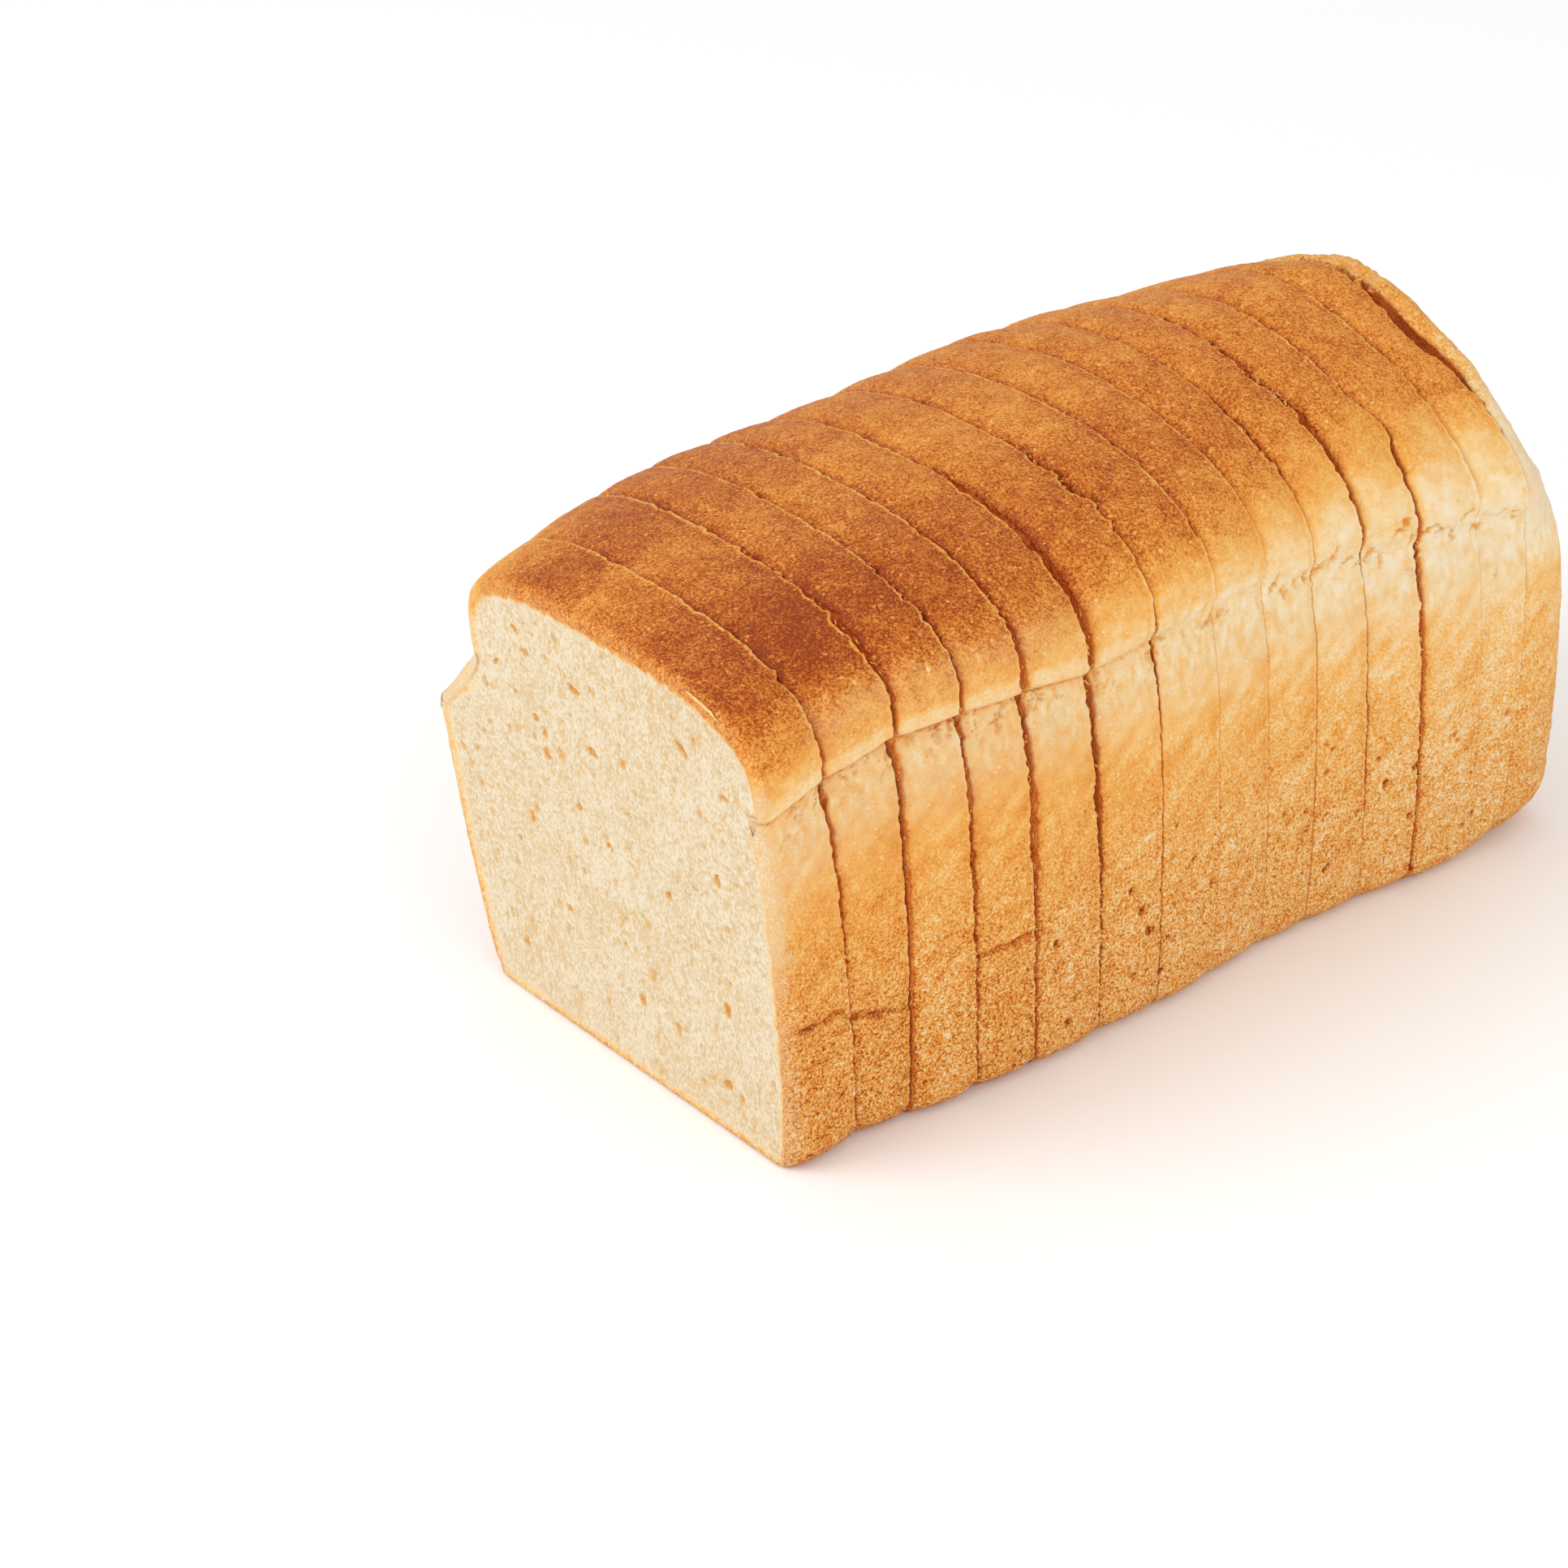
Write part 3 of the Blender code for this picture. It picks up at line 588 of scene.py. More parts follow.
def add_face(piece, ring_first, ring, plane, steps, side, seed, big_holes, way):
    """Closes one end of a slice with a square grid fitted to the outline.

    ring is the crust's last row of points and ring_first its first number; where the grid has fewer
    points round it than the ring, two rings of full count come between, and the last is sewn to the
    grid by fans of triangles. side is -1 for a face that looks to the open end. Round the edge the
    crumb browns into the cut crust, raggedly. On the faces inside the loaf the brown reaches deeper
    and is brighter orange than the crust's own section: painted glow and shade of the narrow gaps."""
    fine = 4 * steps == AROUND
    share = AROUND // (4 * steps)
    open_face = len(big_holes) > 0
    finish_number = 1 if open_face else 2

    def finish(at, out):
        px, py, pz, inset = fit_inside(ring, at, out, plane)
        up = read_round(way, at)
        depth, tone = crumb_finish(px, pz, inset, seed, big_holes)
        flat = np.stack([px, pz, 0 * px + 0.7 * seed], -1)
        wander = ripple(flat / 2.6, seed + 8) + 0.8 * ripple(flat / 0.9, seed + 9)
        if open_face:
            thick = np.interp(up, (-6, 3, 14), (1.7, 1.1, 1.2)) * np.where(px < -30, 1.6, 1.0)
            near_edge = (inset + 0.75 * wander) / thick
            toast = 0.97 * smooth_step(1.45, 0.55 - 0.5 * (up < 0), near_edge)
            bake = np.interp(up, (-6, 3, 14), (0.34, 0.38, 0.58)) - 0.22 * near_edge.clip(0) - 0.08 * (px < -30)
        else:
            # inside the loaf the cut faces brown deeper and brighter orange than the crust's own section: painted glow
            # and shade of the narrow gaps between slices
            thick = np.interp(up, (-6, 3, 14), (1.6, 1.8, 2.2))
            near_edge = (inset + 0.3 * wander) / thick
            toast = smooth_step(3.4, 1.0, near_edge)
            bake = np.interp(up, (-6, 3, 14), (0.56, 0.54, 0.68)) - 0.02 * near_edge
        depth = depth * smooth_step(0.0, 1.2, inset)
        return np.stack([px, py - side * depth, pz], -1), bake.clip(0, 1), tone, toast, 0.5 * toast

    if not fine:
        last = ring_first
        for out in (0.990, 0.975):
            points, bake, tone, toast, grain = finish(np.arange(AROUND, dtype=float), np.full(AROUND, out))
            new = piece.add_points(points, bake, tone, toast, grain)
            k = np.arange(AROUND)
            corners = np.stack([last + k, last + (k + 1) % AROUND, new + (k + 1) % AROUND, new + k], 1)
            if side > 0:
                corners = corners[:, ::-1]
            piece.add_faces(corners, flat_layout(np.concatenate(piece.points), corners, side > 0), finish_number)
            last = new
    i, j = np.meshgrid(np.arange(steps + 1), np.arange(steps + 1), indexing="ij")
    at, out = perimeter(i.astype(float), j.astype(float), steps)
    at = at * share
    inside = out < 1.0 - 1e-9
    number = np.zeros(i.shape, int)
    chosen = inside if fine else np.ones_like(inside)
    points, bake, tone, toast, grain = finish(at[chosen], out[chosen] * (1.0 if fine else 0.958))
    new = piece.add_points(points, bake, tone, toast, grain)
    number[chosen] = new + np.arange(chosen.sum())
    if fine:
        number[~inside] = ring_first + np.rint(at[~inside]).astype(int) % AROUND
    corners = np.stack([number[:-1, :-1], number[1:, :-1], number[1:, 1:], number[:-1, 1:]], -1).reshape(-1, 4)
    if side > 0:
        corners = corners[:, ::-1]
    everything = np.concatenate(piece.points)
    piece.add_faces(corners, flat_layout(everything, corners, side > 0), finish_number)
    if not fine:
        coarse = np.zeros(4 * steps, int)
        edge = ~inside
        coarse[np.rint(at[edge] / share).astype(int) % (4 * steps)] = number[edge]
        c0, c1 = coarse, np.roll(coarse, -1)
        f = [last + (share * np.arange(4 * steps) + m) % AROUND for m in range(share + 1)]
        half = share // 2
        fans = [np.stack([f[m], f[m + 1], c0 if m < half else c1], 1) for m in range(share)]
        fans.append(np.stack([f[half], c1, c0], 1))
        sewn = np.concatenate(fans)
        if side > 0:
            sewn = sewn[:, ::-1]
        piece.add_faces(sewn, flat_layout(everything, sewn, side > 0), finish_number)


# how far each slice has slid sideways and settled, in millimetres
SLICE_JOGS = ((0.40, 0.20), (-0.50, -0.25), (0.35, 0.15), (-0.05, -0.10), (0.20, 0.15), (-0.20, -0.20), (0.05, 0.05),
              (0.0, 0.0), (-0.05, 0.05), (0.10, 0.15), (-0.20, -0.15), (0.10, 0.10), (-0.10, -0.10))
CORNER_PULL = np.random.default_rng(8).uniform(0.25, 0.75, len(CUT_AT))


def crust_rows(front, back, way, front_open, back_open, number):
    """The crust of a slice between two cut lines, as rows of points: straight from one to the other,
    fuller in the middle by a parabola, worn round at both edges, its lower corners pulled in at the
    cuts, and then moved straight out or in by its relief."""
    v = ROWS[:, None, None]
    rows = front * (1 - v) + back * v
    full = BELLY * 4.0 * v[..., 0] * (1 - v[..., 0])
    jog = SLICE_JOGS[number - 1]
    rows[..., 0] += full * rows[..., 0] / SIDE_HALF_WIDTH * (0.45 + 0.55 * smooth_step(-3.0, 8.0, way)) + jog[0]
    rows[..., 2] += full * ((rows[..., 2] - WAIST_HEIGHT) / 21.0).clip(0) + jog[1] * (rows[..., 2] / 100.0)
    facing = outward(rows[..., (0, 2)])
    flat = rows.reshape(-1, 3)
    count = len(ROWS)
    ways = np.broadcast_to(way, rows.shape[:2]).ravel()
    f = np.repeat(ROWS * ROW_SPAN, AROUND)
    b = ROW_SPAN - f
    open_f, open_b = np.tile(front_open, count), np.tile(back_open, count)
    relief, bake, grain = crust_finish(flat, ways, facing[..., 0].ravel())
    dome = smooth_step(-2.0, 6.0, ways)
    under = smooth_step(1.5, 0.0, flat[:, 2])
    drop = (0.38 * dome + 0.10) * (0.7 + 0.3 * open_f) * np.exp(-(f / 1.5) ** 2)
    drop += (0.06 - 0.18 * dome) * np.exp(-(b / 1.5) ** 2)
    low_corner = np.exp(-((np.abs(flat[:, 0]) - 47.5) / 5.0) ** 2 - ((flat[:, 2] - 2.0) / 7.0) ** 2)
    drop += low_corner * (CORNER_PULL[number - 1] * np.exp(-(f / 2.2) ** 2) + CORNER_PULL[number] * np.exp(-(b / 2.2) ** 2))
    face_round = 1.5 + 0.9 * smooth_step(-2.0, -6.0, ways) if number == 1 else 0.08 + 0.08 * dome + 0.34 * open_f
    worn = edge_wear(f, face_round) + edge_wear(b, 0.07 + 0.07 * dome + 0.2 * open_b)
    quiet = smooth_step(0.0, 0.6, np.minimum(f, b))
    out = (relief * (0.5 + 0.5 * quiet) - drop - worn) * (1 - 0.75 * under)
    moved = flat.copy()
    push = facing.reshape(-1, 2)
    moved[:, 0] += out * push[:, 0]
    moved[:, 2] += out * push[:, 1]
    moved[:, 2] = np.maximum(moved[:, 2], 0.0)

    # a painted sheen low on the dome and floury dust high on the sides; the thin golden rim that the saw
    # leaves, ragged and wider in places; a faint darker strip just inside it; and painted shade along the cuts
    # low on the dome the crust is mixed toward the crumb's colour, a painted sheen that pales it; high on the sides the
    # same mix is floury dust
    dust_and_sheen = np.exp(-((ways - 7.0) / 5.0) ** 2) * smooth_step(9, 16, flat[:, 1]) * smooth_step(0.72, 0.42, bake)
    dust_and_sheen *= smooth_step(82, 55, flat[:, 1])
    dust_and_sheen += np.exp(-((ways + 11.0) / 8.0) ** 2) * (1.9 + 0.7 * smooth_step(82, 55, flat[:, 1]))
    toast = 1.0 - 0.13 * dust_and_sheen * (1.0 + 0.8 * ripple(flat / 2.4, 48) + 0.7 * ripple(flat / 0.9, 51))
    rim = ripple(flat / (1.3, 3.0, 1.3), 31)
    wide = ripple(flat / (6.0, 6.0, 6.0), 32)
    rim_b = smooth_step(0.85, 0.20, b - 0.25 * rim - 0.3 * wide)
    gold = np.minimum(bake - 0.02 - 0.07 * dome, 0.33 - 0.04 * dome + 0.05 * dome * smooth_step(6, 18, ways) + 0.12 * rim)
    if number == 1:
        inward = f + 1.3 * ripple(flat / 2.6, 33) + 0.7 * ripple(flat / 0.9, 34)
        worn_in = smooth_step(0.0, 3.2 - 1.2 * dome, inward)
        low = smooth_step(60, 32, flat[:, 2])
        front_bake = np.interp(ways, (-6, 3, 14), (0.34, 0.36, 0.58)) + 0.12 * low - 0.14 * (flat[:, 0] < -30)
        bake = front_bake + (bake - front_bake) * worn_in
        toast = toast * (1 - (0.75 - 0.65 * dome) * (1 - 0.7 * low) * smooth_step(2.8 - 2.0 * dome, -0.3, inward))
    bake = bake + (gold - bake) * 0.9 * rim_b
    # painted shadow on the front edge of each slice, shaded by the slice before it, and a faint darker strip before
    # each back edge
    shadow_behind_cut = 0.15 * np.exp(-(f / 1.0) ** 2) * (dome + (1 - dome) * open_f)
    bake += (shadow_behind_cut + 0.05 * np.exp(-((b - 1.3) / 0.8) ** 2)) * (number > 1)
    # painted shade in the narrow crease where two slices meet, at both edges
    bake += 0.15 * (1 - 0.6 * dome) * (smooth_step(0.28, 0.0, f) * (number > 1) + smooth_step(0.28, 0.0, b))
    return moved.reshape(rows.shape), bake, 0.82, toast, grain


def add_node(tree, kind, x, y, **settings):
    """Adds a shader node at a place on the board, with its settings."""
    made = tree.nodes.new(kind)
    made.location = (x, y)
    for name, value in settings.items():
        setattr(made, name, value)
    return made


def screen_colour(red, green, blue):
    """A colour as light strength from its screen numbers: the part over 0.055, to the power 2.4."""
    c = np.array([red, green, blue]) / 255.0
    c = np.where(c > 0.04045, ((c + 0.055) / 1.055) ** 2.4, c / 12.92)
    return (*c.tolist(), 1.0)


# crust from white dough to dark brown, and crumb from the painted shade at the bottom of a bubble to the top of a wall
CRUST_COLOURS = ((0.00, (233, 217, 187)), (0.15, (232, 201, 150)), (0.30, (230, 178, 102)), (0.42, (226, 159, 74)),
                 (0.55, (217, 142, 58)), (0.68, (200, 116, 42)), (0.80, (180, 93, 28)), (0.92, (161, 73, 20)),
                 (1.00, (141, 57, 14)))
# the cut crust inside the gaps, brighter and more orange than the crust: a painted glow of the gaps
CUT_CRUST_AND_GAP_GLOW_COLOURS = ((0.00, (233, 217, 187)), (0.20, (233, 197, 140)), (0.38, (233, 172, 96)), (0.52, (235, 146, 62)),
                    (0.70, (222, 118, 42)), (1.00, (176, 70, 18)))
CRUMB_AND_BUBBLE_SHADE_COLOURS = ((0.00, (208, 141, 64)), (0.30, (213, 161, 93)), (0.62, (213, 180, 130)), (0.85, (215, 193, 157)),
                 (1.00, (224, 210, 183)))


def colour_band(tree, stops, x, y):
    """A colour ramp with the given places and screen colours."""
    ramp = add_node(tree, "ShaderNodeValToRGB", x, y)
    points = ramp.color_ramp.elements
    while len(points) < len(stops):
        points.new(0.5)
    for point, (place, colour) in zip(points, stops):
        point.position = place
        point.color = screen_colour(*colour)
    return ramp


def maths(tree, operation, first, second, x, y, third=None):
    """A Math node fed by sockets or plain numbers."""
    made = add_node(tree, "ShaderNodeMath", x, y, operation=operation)
    for socket, value in zip(made.inputs, (first, second, third)):
        if value is None:
            continue
        if isinstance(value, (int, float)):
            socket.default_value = value
        else:
            tree.links.new(value, socket)
    return made.outputs[0]


def noise(tree, place, scale, detail, x, y, roughness=0.55):
    """A Noise node on the bread's own coordinates, centred on nought."""
    made = add_node(tree, "ShaderNodeTexNoise", x, y)
    made.inputs["Scale"].default_value = scale
    made.inputs["Detail"].default_value = detail
    made.inputs["Roughness"].default_value = roughness
    tree.links.new(place, made.inputs["Vector"])
    return maths(tree, "SUBTRACT", made.outputs["Fac"], 0.5, x + 180, y)


def bread_material(name, crust, bake_colours):
    """One of the three finishes of the bread. All read the same four values of the points: the bake and
    the crumb's lightness each go through a ramp, and the crustiness mixes the two.

    Fine noise moves the bake and the lightness before they are coloured, so that grain and freckles have
    the bread's own colours, and the crumb's small hollows are painted darker as shade. The crust shines
    softly where it is dark; the crumb is dull."""
    material = bpy.data.materials.new(name)
    material.use_nodes = True
    tree = material.node_tree
    shader = tree.nodes["Principled BSDF"]
    shader.location = (1500, 0)
    tree.nodes["Material Output"].location = (1800, 0)
    place = add_node(tree, "ShaderNodeTexCoord", -1400, 0).outputs["Object"]
    value = {label: add_node(tree, "ShaderNodeAttribute", -1400, -300 - 200 * k, attribute_name=label).outputs["Fac"]
             for k, label in enumerate(("bake", "tone", "toast", "grain"))}

    upright = add_node(tree, "ShaderNodeVectorMath", -1250, -100, operation="MULTIPLY")
    upright.inputs[1].default_value = (1.0, 1.0, 1.0 if crust else 0.62)
    tree.links.new(place, upright.inputs[0])
    place = upright.outputs[0]
    freckle = noise(tree, place, 1700.0, 2.0, -1100, 500)
    sand = add_node(tree, "ShaderNodeTexVoronoi", -1100, 650)
    sand.inputs["Scale"].default_value = 2500.0
    tree.links.new(place, sand.inputs["Vector"])
    sand = maths(tree, "SUBTRACT", sand.outputs["Distance"], 0.46, -900, 650)
    mottle = noise(tree, place, 420.0, 3.0, -1100, 300)
    cloud = noise(tree, place, 130.0, 2.0, -1100, 100)
    grain_strength = maths(tree, "MULTIPLY_ADD", value["grain"], 1.15, -700, 500, third=0.14)
    grains = maths(tree, "MULTIPLY_ADD", sand, 0.42, -800, 600, third=maths(tree, "MULTIPLY", freckle, 0.9, -900, 520))
    grainy = maths(tree, "MULTIPLY", grains, grain_strength, -500, 500)
    bake = maths(tree, "ADD", value["bake"], grainy, -300, 400)
    bake = maths(tree, "MULTIPLY_ADD", mottle, 0.26, -120, 400, third=bake)
    bake = maths(tree, "MULTIPLY_ADD", cloud, 0.16, 60, 400, third=bake)

    # pale flecks of flour, pale rings round burst skin bubbles that are painted highlights on their rims, and the odd
    # dark one
    flecks = add_node(tree, "ShaderNodeTexVoronoi", -1100, 800)
    flecks.inputs["Scale"].default_value = 470.0
    tree.links.new(place, flecks.inputs["Vector"])
    wobbly = maths(tree, "MULTIPLY_ADD", freckle, 0.10, -1000, 760, third=flecks.outputs["Distance"])
    ring = maths(tree, "COMPARE", wobbly, 0.13, -900, 800, third=0.045)
    spot = maths(tree, "LESS_THAN", wobbly, 0.12, -900, 720)
    some = add_node(tree, "ShaderNodeSeparateColor", -900, 950)
    tree.links.new(flecks.outputs["Color"], some.inputs["Color"])
    ring_highlight = maths(tree, "MULTIPLY", ring, maths(tree, "GREATER_THAN", some.outputs["Red"], 0.62, -700, 950), -500, 850)
    plain = maths(tree, "MULTIPLY", spot, maths(tree, "COMPARE", some.outputs["Red"], 0.43, -700, 1020, third=0.19), -500, 920)
    pale = maths(tree, "ADD", ring_highlight, plain, -350, 880)
    dark = maths(tree, "MULTIPLY", spot, maths(tree, "LESS_THAN", some.outputs["Red"], 0.06, -700, 1100), -500, 1000)
    bake = maths(tree, "MULTIPLY_ADD", pale, maths(tree, "MULTIPLY", bake, -0.42, 150, 500), 240, 400, third=bake)
    bake = maths(tree, "MULTIPLY_ADD", dark, 0.22, 400, 400, third=bake)
    crust_ramp = colour_band(tree, bake_colours, 600, 400)
    tree.links.new(bake, crust_ramp.inputs["Fac"])

    cells = add_node(tree, "ShaderNodeTexVoronoi", -1100, -900)
    cells.inputs["Scale"].default_value = 2100.0
    tree.links.new(place, cells.inputs["Vector"])
    fine = maths(tree, "SUBTRACT", cells.outputs["Distance"], 0.5, -700, -900)
    # the small cells and the mottling that raise the crumb's bump also lighten its colour, so its hollows are painted
    # darker: painted shade
    tone = maths(tree, "MULTIPLY_ADD", fine, 0.54, -300, -500, third=value["tone"])
    tone = maths(tree, "MULTIPLY_ADD", mottle, 0.40, -120, -500, third=tone)
    tone = maths(tree, "MULTIPLY_ADD", cloud, 0.18, -20, -500, third=tone)
    tone = maths(tree, "MULTIPLY_ADD", freckle, 0.80, 60, -500, third=tone)
    crumb_ramp = colour_band(tree, CRUMB_AND_BUBBLE_SHADE_COLOURS, 600, -300)
    tree.links.new(tone, crumb_ramp.inputs["Fac"])

    mixed = add_node(tree, "ShaderNodeMix", 1000, 100, data_type="RGBA")
    toast = maths(tree, "MULTIPLY_ADD", mottle, 0.0 if crust else 0.35, 800, 250, third=value["toast"])
    tree.links.new(toast, mixed.inputs[0])
    tree.links.new(crumb_ramp.outputs["Color"], mixed.inputs[6])
    tree.links.new(crust_ramp.outputs["Color"], mixed.inputs[7])
    tree.links.new(mixed.outputs[2], shader.inputs["Base Color"])

    bump = add_node(tree, "ShaderNodeBump", 1200, -500)
    bump.inputs["Distance"].default_value = 0.0006 if crust else 0.0009
    bump.inputs["Strength"].default_value = 0.5 if crust else 0.45
    if crust:
        height = maths(tree, "MULTIPLY_ADD", mottle, 0.25, 700, -600, third=maths(tree, "MULTIPLY", grains, grain_strength, 500, -600))
        gloss = maths(tree, "MULTIPLY_ADD", bake, -0.34, 900, -100, third=0.80)
        gloss = maths(tree, "MULTIPLY_ADD", mottle, 0.30, 1050, -100, third=gloss)
        tree.links.new(gloss, shader.inputs["Roughness"])
        shader.inputs["Specular IOR Level"].default_value = 0.14
    else:
        height = maths(tree, "MULTIPLY_ADD", fine, 0.5, 700, -600, third=maths(tree, "MULTIPLY", mottle, 0.6, 500, -600))
        shader.inputs["Roughness"].default_value = 0.88
        shader.inputs["Specular IOR Level"].default_value = 0.2
    tree.links.new(height, bump.inputs["Height"])
    tree.links.new(bump.outputs["Normal"], shader.inputs["Normal"])
    return material


bread_finishes = (bread_material("baked crust", True, CRUST_COLOURS), bread_material("open crumb", False, CRUST_COLOURS),
                  bread_material("sawn crumb with painted gap glow", False, CUT_CRUST_AND_GAP_GLOW_COLOURS))

# how wide the slot stays deep inside a cut that stands open, in millimetres
CUT_SLOTS = {5: 1.1, 10: 0.6, 13: 1.8}
OPEN_FACE_STEPS = 240
CUT_FACE_STEPS = 60
outlines = [outline(cut) for cut in range(len(CUT_AT))]


def cut_plane(cut, side):
    """The flat of a cut on one of its sides, as a function of the place across and up."""
    slot = 0.5 * CUT_SLOTS.get(cut, 0.04) * (cut > 0)

    def plane(x, z):
        lie = CUT_AT[cut] + tan(radians(CUT_LEAN[cut])) * (z - 50.0) + tan(radians(CUT_TURN[cut])) * x
        return lie + side * slot
    return plane


for number in range(1, len(CUT_AT)):
    front_ring, front_way = outlines[number - 1]
    back_ring, back_way = outlines[number]
    front_y, front_open = cut_line(number - 1, 1.0, front_ring, front_way)
    back_y, back_open = cut_line(number, -1.0, back_ring, back_way)
    front = np.stack([front_ring[:, 0], front_y, front_ring[:, 1]], 1)
    back = np.stack([back_ring[:, 0], back_y, back_ring[:, 1]], 1)
    way = front_way * (1 - ROWS[:, None]) + back_way * ROWS[:, None]
    rows, bake, tone, toast, grain = crust_rows(front, back, way, front_open, back_open, number)

    bread = Piece()
    first = bread.add_points(rows.reshape(-1, 3), bake, tone, toast, grain)
    add_band(bread, len(ROWS), first, 112.0, 0)
    add_face(bread, first, rows[0], cut_plane(number - 1, 1.0), OPEN_FACE_STEPS if number == 1 else CUT_FACE_STEPS,
             -1.0, 100 * number, FACE_HOLES if number == 1 else (), front_way)
    add_face(bread, first + (len(ROWS) - 1) * AROUND, rows[-1], cut_plane(number, -1.0), CUT_FACE_STEPS,
             1.0, 100 * number + 50, (), back_way)
    slice_piece = bread.make("bread_slice_%02d" % number, bread_finishes)
    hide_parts("slice_%02d" % number)
    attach(slice_piece, "root")

# ---- THE END CRUST --------------------------------------------------------------------------------
# The last piece, the heel, closes the loaf: crumb on its cut side and crust all over the rest, where
# it filled the end of the tin and rose and rounded over above it.

HEEL_THICKNESS = 16.5
HEEL_ROUND_SIDE, HEEL_ROUND_DOME, HEEL_DROP, HEEL_FOOT, HEEL_LIFT = 8.0, 17.0, 24.0, 3.0, 1.2
HEEL_LEAN, HEEL_LEAN_LOST = 3.9, 2.8
HEEL_ROWS = np.concatenate([EDGE_ROWS / 26.0, np.linspace(0.1, 1.0, 34)])
HEEL_END_STEPS = 240


def heel_rows(front, ways):
    """The heel as rows of points from its cut to its end: each row goes back as a sine, and comes in
    and down with one less the cosine of the same turn. Above the rim it leans in by a double sine."""
    turn = 0.5 * pi * HEEL_ROWS[:, None]
    x, y, z = front[:, 0], front[:, 1], front[:, 2]
    inset = 1.0 - np.cos(turn)
    dome = ((z - WAIST_HEIGHT) / (CROWN_BACK - WAIST_HEIGHT)).clip(0)
    blend = ((z - SHOULDER_HEIGHT) / (2.0 * (WAIST_HEIGHT - SHOULDER_HEIGHT))).clip(0, 1)
    rounding = HEEL_ROUND_SIDE + (HEEL_ROUND_DOME - HEEL_ROUND_SIDE) * blend
    reach = 1.0 - rounding * inset / SIDE_HALF_WIDTH
    end = CUT_AT[-1] + HEEL_THICKNESS
    foot = HEEL_FOOT * inset * (1.0 - z / 20.0).clip(0)
    swell = HEEL_LIFT * dome * smooth_step(0.0, 0.35, turn)
    lean = HEEL_LEAN * smooth_step(64.0, 80.0, z) - HEEL_LEAN_LOST * smooth_step(80.0, CROWN_BACK, z)
    back = y + (end - y) * np.sin(turn) - lean * np.sin(2.0 * turn)
    return np.stack([x * reach, back, z + swell - HEEL_DROP * inset * dome + foot], -1)


last_ring, last_way = outlines[-1]
last_y, last_open = cut_line(len(CUT_AT) - 1, 1.0, last_ring, last_way)
heel_front = np.stack([last_ring[:, 0], last_y, last_ring[:, 1]], 1)
rows = heel_rows(heel_front, last_way)
row_step = rows[1:] - rows[:-1]
away = np.concatenate([np.zeros((1, AROUND)), np.cumsum(np.linalg.norm(row_step, axis=-1), axis=0)])
tangent_round = np.roll(rows, -2, axis=1) - np.roll(rows, 2, axis=1)
tangent_back = np.gradient(rows, axis=0)
tangent_back[-1] = tangent_back[-2]
facing = np.cross(tangent_back, tangent_round)
facing /= np.maximum(np.linalg.norm(facing, axis=-1, keepdims=True), 1e-9)
way = np.broadcast_to(last_way, rows.shape[:2])
relief, bake, grain = crust_finish(rows.reshape(-1, 3), way.ravel(), facing[..., 0].ravel())
near_cut = away.ravel()
edge = edge_wear(near_cut, 0.6) + 0.3 * np.exp(-(near_cut / 1.8) ** 2)
out = relief * (0.4 + 0.6 * smooth_step(0.0, 1.0, near_cut)) - edge
moved = rows.reshape(-1, 3) + facing.reshape(-1, 3) * out[:, None]
moved[:, 2] = np.maximum(moved[:, 2], 0.0)
rim = ripple(rows.reshape(-1, 3) / 1.3, 31)
gold = smooth_step(0.7, 0.0, near_cut - 0.3 * rim)
bake -= np.interp(way.ravel(), (0, 8, 14, 24, 32, 40, 54), (0.04, 0.12, 0.20, 0.32, 0.28, 0.17, 0.14))
bake += 0.12 * smooth_step(-5.0, -20.0, way.ravel())
bake += (np.minimum(bake, 0.36 + 0.12 * rim) - bake) * 0.8 * gold

# at the crown, beside the wide cut, the crust has come away and bares rough pale bread
bared = smooth_step(46, 62, way.ravel()) * smooth_step(9.0, 4.0, near_cut + 2.5 * rim)
bake -= 0.05 * bared
moved += facing.reshape(-1, 3) * (0.5 * bared * (ripple(rows.reshape(-1, 3) / 1.7, 35) - 0.6))[:, None]
toast = 1.0 - 0.5 * bared * smooth_step(0.0, 0.5, rim) - 0.38 * smooth_step(-14.0, -2.0, way.ravel()) * smooth_step(24.0, 10.0, way.ravel())

heel = Piece()
first = heel.add_points(moved, bake, 0.75 + 0.1 * rim, toast, grain)
add_band(heel, len(HEEL_ROWS), first, 112.0, 0)
moved = moved.reshape(rows.shape)
add_face(heel, first, moved[0], cut_plane(len(CUT_AT) - 1, 1.0), CUT_FACE_STEPS, -1.0, 1400, (), last_way)


